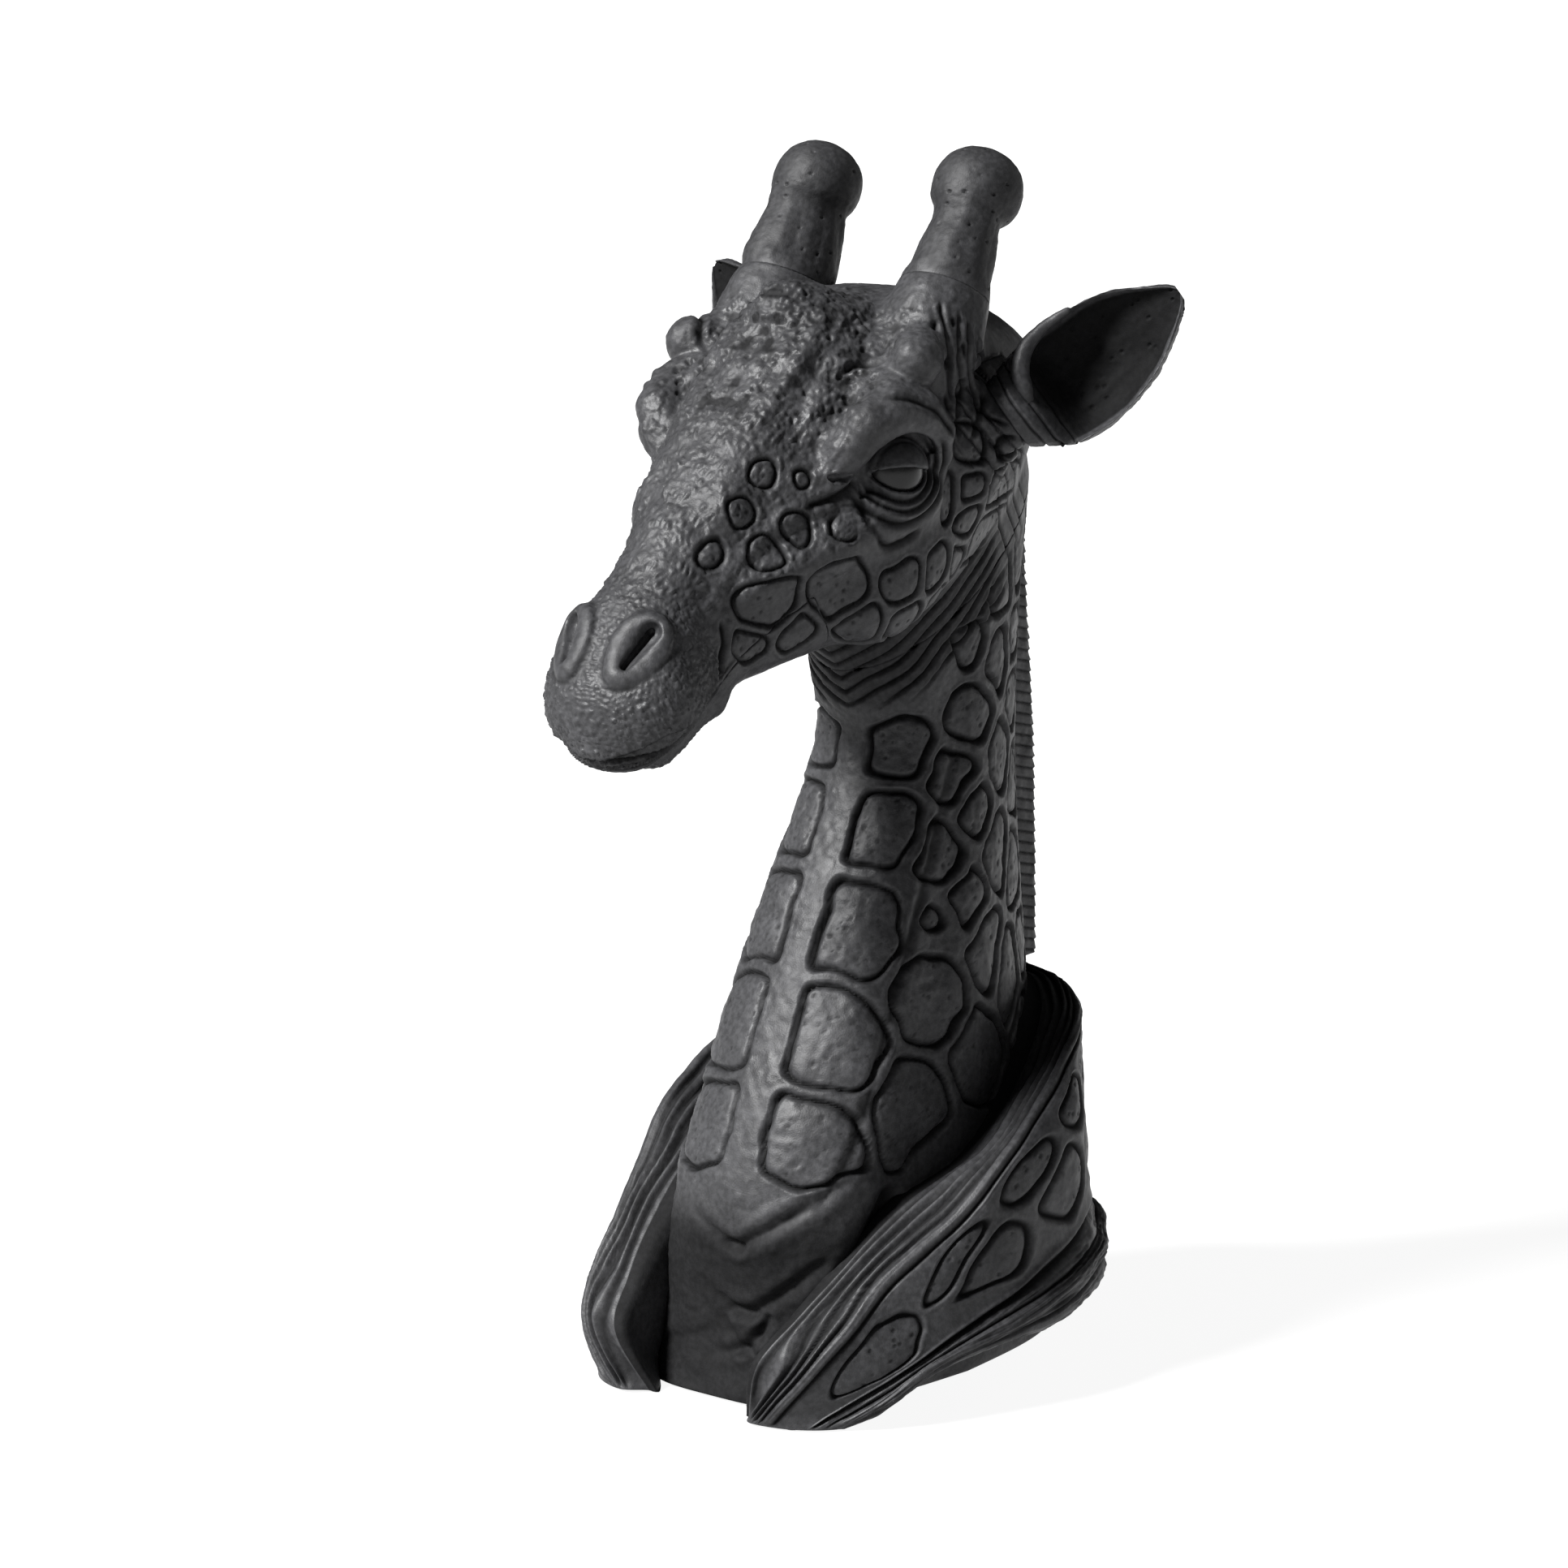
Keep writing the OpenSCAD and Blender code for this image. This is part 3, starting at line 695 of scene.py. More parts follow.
def carve_head(p, field, tree):
    """All carving on the head's two blocks; p are their vertices in the head's axes."""
    normals, skin = field.slope(p)
    m = np.abs(p) * (1, 0, 0) + p * (0, 1, 1)
    r = Relief(m, normals)
    x, s, t = m.T
    up = normals[:, 2]
    r_eye, turn, out = eye_angle(m)
    on_eye = fall(r_eye, LID_R + 0.4, LID_R + 2.4) * step(out, -4, 2)
    clear = 1 - fall(r_eye, 30, 36) * step(out, -8, 0)
    nose_p = m - NOSE
    u, w = nose_p @ NOSE_ALONG, nose_p @ NOSE_ACROSS
    ring = np.sqrt((u / 16) ** 2 + (w / 11) ** 2)
    off_ring = step(ring, 1.0, 1.15)
    # Where each kind of skin lies
    muzzle = step(s, 138, 156) * off_ring
    top = step(up, 0.1, 0.5) * fall(s, 150, 165) * step(s, -40, -10)
    bridge = step(up, 0.12, 0.45) * step(s, 48, 75) * fall(s, 142, 162)
    stub = length(m - to_head(OSS_JOINT))
    forehead = top * fall(s, 60, 90) * clear * step(stub, 22, 34) * (1 - 0.8 * step(x, 44, 54))
    cheek = fall(s, 138, 150) * clear * (1 - step(t, 60, 67) * fall(s, 70, 76))
    cheek *= step(x, 12, 20) * step(s, -34, -22) * fall(t + 0.12 * s, -36, -46)
    # Patches with painted shade in their sunk edges, then the crest of the face between their two rows
    flat = r.patches(CHEEK_PATCHES, CHEEK_BLANKS, 2.8, cheek, 1.7, 1.2, 0.85)
    line = [(40, 84, 43), (36, 98, 46), (30, 114, 45), (26, 132, 42), (27, 146, 36)]
    r.ridge(trace(line, tree), 1.6, 3.2)
    r.pits(4.2, 0.35, flat * (1 - muzzle), 2)
    r.add(0.22 * noise(m, 4.5, 1) + 0.12 * noise(m, 2.2, 2), flat)
    # Forehead: lumps, grains and pits, strongest on the raised middle, with painted shade in the low parts
    # between the lumps
    rough = 0.45 + 0.55 * step(noise(m, 15, 3), -0.35, 0.35)
    r.add(1.2 * noise(m, 9, 4) + 0.7 * noise(m, 4.4, 5), forehead)
    r.add(1.05 * (pebbles(m, 3.6, 1, forehead, 0.8) - 0.7), forehead * rough)
    # Painted shade in the hollows between the lumps.
    r.paint_shade_and_dull(0.7 * step(-noise(m, 4.4, 5), 0.25, 0.6) * forehead)
    r.add(0.25 * (pebbles(m, 2.0, 2, forehead, 0.8) - 0.7), forehead)
    r.pits(5.2, 1.2, forehead * (1 - 0.75 * rough), 4, 0.34)
    sway = 2 * noise(m, 12, 2)
    crest = bell(x, 21 + sway, 3.2) * step(s, -6, 8) * fall(s, 62, 84) * step(t, 50, 60)
    dip = 1.1 * bell(x, 27.5 + sway, 2.6) * step(s, -6, 8) * fall(s, 62, 84) * step(t, 50, 58)
    r.add(1.5 * crest - dip)
    beads = bell(length(m - (12, 22, 84)), 0, 13)
    r.add(1.1 * (pebbles(m, 4.2, 5, beads, 0.7) - 0.5), beads)
    # Nose: overlapping wrinkles across, breaking up towards the muzzle
    warped = m + 2.2 * np.stack([noise(m, 8, 1), noise(m, 7, 2), noise(m, 8, 3)], -1)
    r.add(0.8 * (pebbles(warped * (1, 0.62, 0.8), 3.3, 3, bridge, 0.8) - 0.6), bridge)
    r.add(0.6 * noise(warped, 6, 6) + 0.22 * (pebbles(warped, 2.0, 5, bridge, 0.7) - 0.6), bridge)
    # Muzzle: a net of fine cracks, longer on the side, with rounder grains on the lip
    side = step(x, 22, 30)
    net = 0.55 * (pebbles(warped * (0.75, 1.0, 1.25), 2.5, 4, muzzle, 0.5) - 0.75) * (1 - side)
    net += 0.6 * (pebbles(warped * (1.0, 1.3, 0.62), 2.3, 6, muzzle, 0.5) - 0.75) * side
    r.add(net + 0.22 * (pebbles(m, 1.5, 7, muzzle) - 0.7), muzzle * step(t, 6, 11))
    lip_grain = step(s, 182, 190) * step(t, 8, 14) * fall(t, 34, 40)
    r.add(0.5 * (pebbles(m, 3.0, 5, lip_grain, 0.6) - 0.5), lip_grain)
    chin = step(s, 150, 165) * fall(t, 0, 6)
    r.add(0.35 * (pebbles(m, 2.4, 3, chin) - 0.7), chin)
    # Brow and knob: grooves round the knob, and deep pits before it, with painted shade in both
    line = [(37, 40, 68), (41, 26, 70), (48, 12, 71), (57, 7, 65), (62, 10, 56)]
    r.cut(trace(line, tree), 1.5, 1.6)
    line = [(58, 45, 64), (63, 39.6, 59), (67, 33, 48), (68.3, 29.3, 37.6), (66, 27, 28)]
    r.cut(trace(line, tree), 1.2, 1.6)
    pitted = bell(length(m - (42, 38, 64)), 0, 11)
    r.pits(5.2, 1.9, pitted, 6, 0.4)
    r.add(0.9 * noise(m, 5.2, 7), pitted)
    lumps = bell(length(m - brow_place(58, 28, 6)), 0, 11)
    r.add(1.1 * noise(m, 6, 3) + 0.5 * noise(m, 3.2, 4), lumps)
    r.add(0.25 * noise(m, 3, 5) + 0.12 * noise(m, 1.6, 6), step(t, 40, 48) * step(x, 30, 40))
    # Lids: a raised rim, a fold inside it, and rings below running round the outer corner, with painted
    # shade in the rings and in the cuts at its corner and below it
    rim = on_eye * step(np.cos(turn), -0.2, 0.25)
    r.add(-0.5 * bell(out, 6.4, 0.7) + 0.35 * bell(out, 4.9, 1.1), rim)
    below = step(-np.cos(turn - 0.5), -0.35, 0.15) * step(out, -3, 3)
    for radius, depth, width in ((LID_R + 0.9, 1.1, 0.8), (LID_R + 3.9, 1.1, 0.9), (LID_R + 8.2, 1.9, 1.5)):
        wave = depth * (0.45 * bell(r_eye, radius - 1.9 * width, width) - bell(r_eye, radius, width))
        r.add(wave, below)
        # Painted shade in each ring below the eye.
        r.paint_shade_and_dull(below * bell(r_eye, radius, 0.8 * width))
    corner = ((96, 17, 2), (104, 25, -3), (108, 34, -7), (110, 43, -11))
    tear = ((118, 20, -1), (150, 25, -2), (180, 26, -2), (-150, 25, -2))
    for line, depth in ((corner, 1.8), (tear, 1.3)):
        r.cut(trace([brow_place(*c) for c in line], tree), depth, 1.5)
    # Lips: the lower one set back under the mouth line, and long creases along both, with painted shade
    # along the mouth line and in the creases
    line = 16.6 + 4.2 * bell(s, 194, 9) - 0.12 * np.maximum(165 - s, 0)
    r.add(-2.3, step(s, 148, 162) * fall(t, line - 0.7, line + 0.7))
    # Painted shade along the mouth line.
    r.paint_shade_and_dull(bell(t, line, 0.9) * step(s, 140, 150))
    for depth, height in ((1.2, 14.6), (1.0, 8.6), (0.9, 4.8)):
        line = [(0, 205, height + 1.5), (16, 201, height), (25, 188, height - 0.5),
                (29, 172, height), (30, 156, height + 2)]
        r.cut(trace(line, tree), depth, 1.0, 0.3, 0.05)
    r.cut(trace([(30, 160, 14), (34, 146, 22), (33, 140, 34)], tree), 1.4, 1.8)
    # Outside the nostril ring: a shallow groove with light painted shade
    around = [nose(16.4 * math.cos(a), (11.0 + 1.4 * math.cos(a)) * math.sin(a), 0)
              for a in np.linspace(0, math.tau, 22)]
    r.cut(trace(around, tree), 0.4, 1.2, 0.1, 0.01)
    # Temple: short deep cuts between brow and ear, with painted shade in them
    for a, b, depth in (
        ((58, -2, 66), (58, 1, 60), 1.6), ((61, -6, 50), (62, -3, 42), 1.5),
        ((62, 4, 50), (63, 8, 42), 1.4), ((62, -14, 44), (61, -12, 33), 1.7),
        ((60, -20, 34), (59, -17, 24), 1.5), ((61, 10, 36), (61, 12, 28), 1.2),
        ((58, -2, 24), (58, 1, 15), 1.4), ((60, -9, 60), (60, -6, 55), 1.3),
        ((56, -24, 20), (55, -22, 10), 1.4),
    ):
        r.cut(trace([a, (np.array(a) + b) / 2 + (0, 1, 0), b], tree), depth, 1.5, 0.2, 0.35)
    for line in (
        [(54, -10, 66), (57, -4, 60), (59, 1, 53), (58, 5, 44), (55, 9, 28)],
        [(59, -13, 59), (61, 0, 46), (57, 2, 33), (58, 18, 17)],
        [(61, -14, 54), (61, -5, 42), (57, -3, 22), (59, 13, 12)],
    ):
        r.cut(trace(line, tree), 1.0, 1.0, 0.5, 0.1)
    # Rings round the root of the ear, with painted shade in their furrows
    root = to_head(EAR_ROOT)
    away = unit((to_head(EAR_TIP) - root)[None])[0]
    d = m - root
    down = -(d @ away)
    beside = length(d + down[:, None] * away)
    stump = fall(beside, 22, 30) * step(down, -6, -2)
    wave = np.abs(np.sin(math.pi * (down + 0.8 * noise(m, 9, 2)) / 5.4))
    r.add(-1.3 * fall(wave, 0, 0.55), stump * fall(down, 18, 24))
    # Painted shade in the furrows between the rings.
    r.paint_shade_and_dull(fall(wave, 0, 0.3) * stump * fall(down, 18, 24) * 0.8)
    # Fine tool marks and unevenness everywhere but the eye, and none at the neck joint
    r.add(0.14 * noise(p, 2.4, 3) + 0.25 * noise(p, 13, 1), 1 - on_eye)
    keep = step(t, JOINT_T + 0.4, JOINT_T + 5)
    joint = to_head(OSS_JOINT)
    for point, axis, size in ((joint, to_head(OSS_JOINT + OSS_AXIS) - joint, 19), (root, away, 14)):
        d = m - point
        along = d @ axis
        close = fall(length(d - along[:, None] * axis), size + 2, size + 6)
        keep = keep * (1 - close * fall(np.abs(along), 0.5, 4))
    r.push *= keep
    r.painted_shade_and_dulling *= keep
    throat_wrinkles(r, m)
    r.push *= skin
    r.painted_shade_and_dulling *= skin
    r.p = p
    return r


# --- Neck -----------------------------------------------------------------------------

FELT_T = 1.5
FOOT_BOX, FOOT_SHIFT = 0.45, 15  # how much squarer the neck is at its foot, and how far over to its right
JOINT_FRONT = from_head(np.array([0, 74, JOINT_T]))
JOINT_BACK = from_head(np.array([0, -66, JOINT_T]))
# front y, front z, back y, back z, half width, how far the widest part leans forward
NECK_STATIONS = [
    [-80, FELT_T, 98, FELT_T, 50, 0.05],
    [-76, 36, 104, 40, 50, 0.10],
    [-84, 76, 107, 78, 51, 0.16],
    [-76, 110, 108, 118, 51, 0.26],
    [-59, 148, 107, 152, 46, 0.33],
    [-36, 195, 104, 196, 40, 0.38],
    [-15.5, 234, 101, 244, 34, 0.38],
    [-5, 264, 99, 302, 33, 0.28],
    [JOINT_FRONT[1], JOINT_FRONT[2], JOINT_BACK[1], JOINT_BACK[2], 38, 0.12],
]
# Patches of the neck's left half: degrees round from the front, height, then growth and most reach
NECK_PATCHES = [
    (30, 262, -1), (32, 231, -1), (31, 192, -1), (30, 149, -1), (27, 110, -1),
    (70, 303, 1), (73, 272, 1), (64, 246), (59, 217, 1), (58, 192, -2, 7), (62, 163, 4), (60, 120, 4),
    (94, 320), (94, 293), (103, 251), (80, 232), (99, 213), (77, 198), (90, 176), (87, 136),
    (122, 330), (120, 300), (124, 272), (132, 236), (124, 200), (112, 160), (135, 165), (128, 130),
]
NECK_BLANKS = [
    (14, 70), (42, 76), (80, 92), (20, 288), (48, 292), (110, 95), (68, 325), (160, 350), (160, 320),
    (165, 290), (166, 262), (166, 235), (166, 205), (165, 175), (160, 145), (150, 110),
]


def neck_place(st, a, furrow=1.0):
    """A point of the neck: st is a row between stations, a the angle round from the front."""
    side = np.degrees(np.arccos(np.clip(np.cos(a), -1, 1)))
    egg_k = np.minimum(st[..., 5] / 0.2, 1.2)
    k = 1 - furrow * (0.055 * bell(side, 62, 13) - 0.03 * bell(side, 38, 14)) * egg_k
    c, s = np.cos(a), np.sin(a)
    low = np.clip(1 - st[..., 1] / 110, 0, 1)
    power = 1 - FOOT_BOX * low
    c, s = np.sign(c) * np.abs(c) ** power, np.sign(s) * np.abs(s) ** power
    return np.stack([
        k * st[..., 4] * s * (1 + st[..., 5] * c) - FOOT_SHIFT * low * np.maximum(c, 0),
        (st[..., 0] + st[..., 2]) / 2 + k * (st[..., 0] - st[..., 2]) / 2 * c,
        (st[..., 1] + st[..., 3]) / 2 + k * (st[..., 1] - st[..., 3]) / 2 * c,
    ], -1)


def neck_at(degrees, z, x_side=1):
    """The neck's surface at an angle and a height."""
    q = np.linspace(0, 1, 400)
    line = neck_place(curve(NECK_STATIONS, q), np.full(400, math.radians(degrees)))
    p = line[np.abs(line[:, 2] - z).argmin()]
    return p * np.array([x_side, 1, 1])


def even(points, spacing):
    """Places from 0 to 1 along a curve so that its points come out evenly spaced."""
    q = np.linspace(0, 1, 600)
    run = np.concatenate([[0], np.cumsum(length(np.diff(curve(points, q), axis=0)))])
    return np.interp(np.linspace(0, run[-1], int(run[-1] / spacing) + 1), run, q)


def closed(v, rows, cols):
    """Caps both ends of a tube of rings: a ring a little inside, and one at the middle."""
    rings = v.reshape(rows, cols, 3)

    def cap(ring):
        mid = ring.mean(0)
        return [mid + 1e-3 * (ring - mid), mid + 0.97 * (ring - mid)]

    first, last = cap(rings[0]), cap(rings[-1])
    every = np.concatenate([[first[0], first[1]], rings, [last[1], last[0]]])
    return every.reshape(-1, 3), rows + 4


def facing_out(v, faces):
    """Faces turned so that the closed mesh's volume is positive."""
    a, b, c = v[faces[:, 0]], v[faces[:, 1]], v[faces[:, 2]]
    return faces if (np.cross(a, b) * c).sum() > 0 else faces[:, ::-1]


def solid(grid):
    """A closed mesh from a grid of rings, with its faces turned outwards."""
    rows, cols = grid.shape[:2]
    points, rows = closed(grid, rows, cols)
    return points, facing_out(points, grid_faces(rows, cols))


def build_neck():
    """The neck's plain form."""
    spacing = 0.85
    middle = np.array(NECK_STATIONS)[:, :4]
    q = even((middle[:, :2] + middle[:, 2:]) / 2, spacing)
    cols = int(300 / spacing)
    angles = np.arange(cols) * math.tau / cols
    st = curve(NECK_STATIONS, q)[:, None, :]
    furrow = fall(q, 0.93, 1.0)[:, None]
    v = neck_place(st, angles[None, :], furrow)
    v[..., 2] = np.maximum(v[..., 2], FELT_T)
    return solid(v)


def carve_neck(v, faces):
    """Patches, furrows and folds on the neck, with painted shade in them and over the front of the chest.
    """
    p = np.abs(v) * (1, 0, 0) + v * (0, 1, 1)
    r = Relief(p, vertex_normals(v, faces))
    h = to_head(p)
    t = h[:, 2]
    y, z = v[:, 1], v[:, 2]
    seeds = [tuple(neck_at(*c[:2])) + tuple(c[2:]) for c in NECK_PATCHES]
    # The front patches of the right half bound those of the left, with a strap between them.
    blanks = [tuple(neck_at(*c)) for c in NECK_BLANKS] + [
        tuple(neck_at(*c[:2], -0.6)) for c in NECK_PATCHES[:5]
    ]
    where = step(z, 82, 92) * fall(t, -72, -64)
    flat = r.patches(seeds, blanks, 4.6, where, 2.6, 1.8, 1.2)
    r.pits(5.5, 0.5, flat, 2, 0.22)
    r.pits(3.1, 0.3, flat, 5, 0.2)
    r.add(0.25 * noise(v, 7, 1) + 0.12 * noise(v, 2.6, 2), flat)
    # Long furrow beside the windpipe and folds on the chest, with painted shade along them
    for side in (-1, 1):
        for line, depth, width in (
            ([(64, 262), (54, 225), (48, 190), (44, 150), (40, 112), (32, 80)], 1.0, 2.2),
            ([(44, 100), (24, 82), (8, 70), (0, 66)], 2.2, 2.6),
            ([(40, 66), (22, 50), (8, 40), (0, 38)], 2.0, 2.4),
            ([(16, 40), (8, 26), (0, 19)], 2.2, 2.2),
            ([(60, 92), (50, 56), (38, 18)], 5.0, 6.0),
            ([(50, 40), (36, 24), (26, 6)], 1.8, 2.4),
        ):
            r_side = Relief(v, r.normals)
            r_side.cut(trace([neck_at(a, h0, side) for a, h0 in line]), depth, width, 0.35, 0.12)
            r.push += r_side.push
            r.paint_shade_and_dull(0.7 * r_side.painted_shade_and_dulling)
    # Painted shade over the front of the chest below the neck's patches, where it is recessed.
    chest = fall(z, 66, 92) * step(-y, 20, 50)
    r.paint_shade_and_dull(0.78 * chest)
    r.add(1.2 * noise(v * (1, 1, 0.45), 12, 3), fall(z, 70, 100))
    r.add(0.3 * noise(v, 3.2, 4) + 0.14 * noise(v, 1.7, 5))
    below_joint = fall(t, -67, -61.4)
    r.push *= below_joint
    r.painted_shade_and_dulling *= below_joint
    throat_wrinkles(r, np.abs(h) * (1, 0, 0) + h * (0, 1, 1))
    r.push *= step(z, FELT_T, FELT_T + 3)
    r.p = v
    return r


# --- Mane -----------------------------------------------------------------------------

MANE_CREST = [
    (93, 408), (102.5, 384), (107, 352), (112.5, 302), (117.5, 249), (120, 200), (121, 152)
]
MANE_W = 13
MANE_TUFT = 4.7  # length of one tuft


def build_mane():
    """The mane: a strip over the nape whose crest is cut into tufts, with painted shade in the partings
    between the tufts.
    """
    spacing = 0.5
    crest = np.array([(0, y, z) for y, z in MANE_CREST], float)
    q = even(crest, spacing)
    c = curve(crest, q)
    run = np.concatenate([[0], np.cumsum(length(np.diff(c, axis=0)))])
    cols = 44
    e = np.linspace(-1, 1, cols)
    tooth = (run / MANE_TUFT) % 1
    tooth = (tooth * 1.25).clip(0, 1) ** 1.6 - (tooth - 0.8).clip(0) * 5
    # across: up one side, over a rounded crest, down the other
    half = MANE_W / 2
    a = np.clip(np.abs(e) / 0.55, 0, 1)
    x = np.sign(e) * half * np.sin(a * math.pi / 2) ** 0.8
    back = -5.0 * (1 - np.cos(a * math.pi / 2)) - 14.0 * np.clip((np.abs(e) - 0.55) / 0.45, 0, 1)
    top = np.clip(1 - np.abs(e) / 0.6, 0, 1)
    rows = len(q)
    v = np.zeros((rows, cols, 3))
    v[..., 0] = x[None, :]
    jut = (2.2 * tooth[:, None] - 1.2) * (0.15 + 0.85 * top[None, :])
    v[..., 1] = c[:, 1][:, None] + back[None, :] + jut
    v[..., 2] = c[:, 2][:, None]
    strand = noise(v.reshape(-1, 3) * (1, 0.4, 0.22), 1.3, 2).reshape(rows, cols)
    part = np.abs(np.sin(math.pi * (run[:, None] - 0.25 * back[None, :]) / MANE_TUFT))
    v[..., 0] += np.sign(e)[None, :] * (0.35 * strand - 0.9 * fall(part, 0, 0.5)) * (np.abs(e) > 0.1)
    v[..., 1] += 0.3 * strand * top[None, :]
    # Painted shade in the partings between the tufts.
    painted_shade_and_dulling = 0.7 * fall(part, 0, 0.4)
    return *solid(v), np.pad(painted_shade_and_dulling, ((2, 2), (0, 0))).ravel()


# --- Mantle ---------------------------------------------------------------------------

MANTLE_LINES = [
    # inner edge
    [(26, -84, 1), (37, -90, 26), (44, -78, 44), (50, -62, 62), (55, -36, 84), (58, 0, 98),
     (54, 36, 118), (40, 74, 138), (18, 100, 146), (0, 107, 147)],
    # ridge of the collar
    [(33, -90, 1.5), (55, -87, 28), (66, -72, 47), (71, -58, 61), (77, -42, 76), (83, -20, 98),
     (82, 6, 116), (76, 36, 130), (66, 62, 140), (40, 95, 144), (0, 115, 146)],
    # middle of the panel
    [(46, -87, 1), (62, -80, 18), (74, -62, 34), (82, -42, 54), (89, -10, 86), (88, 30, 109),
     (72, 58, 118), (42, 96, 118), (0, 120, 116)],
    # furrow above the hem
    [(56, -81.5, 1), (70, -68, 15), (82, -47, 30), (89, -20, 44), (91, 13, 55), (85, 45, 60),
     (69, 69, 60), (42, 101, 61), (0, 121, 62)],
    # hem roll
    [(61.5, -75, 1), (74, -65, 12), (84, -49, 26), (93, -20, 36), (96, 13, 44), (89, 47, 48),
     (74, 72, 47), (46, 107, 47), (0, 127, 46)],
    # under the hem
    [(59.5, -71, 0.5), (67, -65, 5), (76, -48, 19), (84, -20, 27), (89, 10, 29), (84, 42, 32),
     (69, 71, 30), (42, 101, 30), (0, 119, 30)],
]
DRAPE_SHIFT, DRAPE_FORWARD, COLLAR_RISE = 12, 5, 5


def front_shift(p, side):
    """Both front ends hang over to the bust's right and forward, and its right shoulder is higher."""
    y, z = p[..., 1], p[..., 2]
    f = np.clip(-y / 80, 0, 1.2)
    rise = COLLAR_RISE * bell(y, -15, 45) * np.clip((z - 30) / 60, 0, 1) if side < 0 else 0
    return p + np.stack([-DRAPE_SHIFT * f**1.5, -DRAPE_FORWARD * f * f, rise + 0 * y], -1)


def mantle_lines(q):
    """The mantle's lines at q, then two more for its inner face."""
    lines = [curve(line, q) for line in MANTLE_LINES]
    k = q[:, None]
    hem = lines[5] * np.concatenate([0.72 - 0.3 * k, 0.94 - 0.2 * k, 0 * k + 1], 1)
    edge = lines[0] * np.concatenate([0.92 - 0.3 * k, 0.96 - 0.18 * k, 0 * k + 1], 1)
    hem[:, 2] += 2 + 4 * q
    edge[:, 2] -= 2 + 10 * q
    return np.stack(lines + [hem, edge], 1)


def mantle_grid(q, turn, side):
    """Points of the mantle: q from the front end to the back seam, turn from 0 to 8 round a ring."""
    c = mantle_lines(q)
    i = np.floor(turn).astype(int) % 8
    f = (turn - np.floor(turn))[None, :, None]
    p = spline(*(c[:, (i + k) % 8] for k in (-1, 0, 1, 2)), f) * np.array([side, 1, 1])
    p[..., 2] = np.maximum(p[..., 2], 0.5)
    return front_shift(p, side)


# Patches on the panel as (q, turn), from the front end back
PANEL_PATCHES = [
    (0.21, 1.98, 7), (0.41, 1.55), (0.44, 2.34), (0.53, 1.62), (0.57, 2.38), (0.66, 1.66),
    (0.70, 2.36), (0.79, 1.66), (0.83, 2.34), (0.91, 1.66), (0.95, 2.34),
]
PANEL_LONG, PANEL_TALL = 200.0, 25.0  # how far one q and one turn count for when patches are parted


def build_mantle(side):
    """One half of the mantle as a grid: its points, and the q and turn of its rows and columns."""
    spacing = 0.9
    rows, per = int(330 / spacing), int(30 / spacing)
    # evenly spread rows by the ridge line's length, and more columns where the surface is long
    q = np.interp(np.linspace(0, 1, rows), [0, 0.5, 1], [0, 0.47, 1])
    widths = [1.1, 1.35, 1.5, 0.7, 0.75, 1.0, 1.3, 0.9]
    turn = np.concatenate([n + np.arange(int(per * w)) / int(per * w) for n, w in enumerate(widths)])
    return mantle_grid(q, turn, side), q, turn


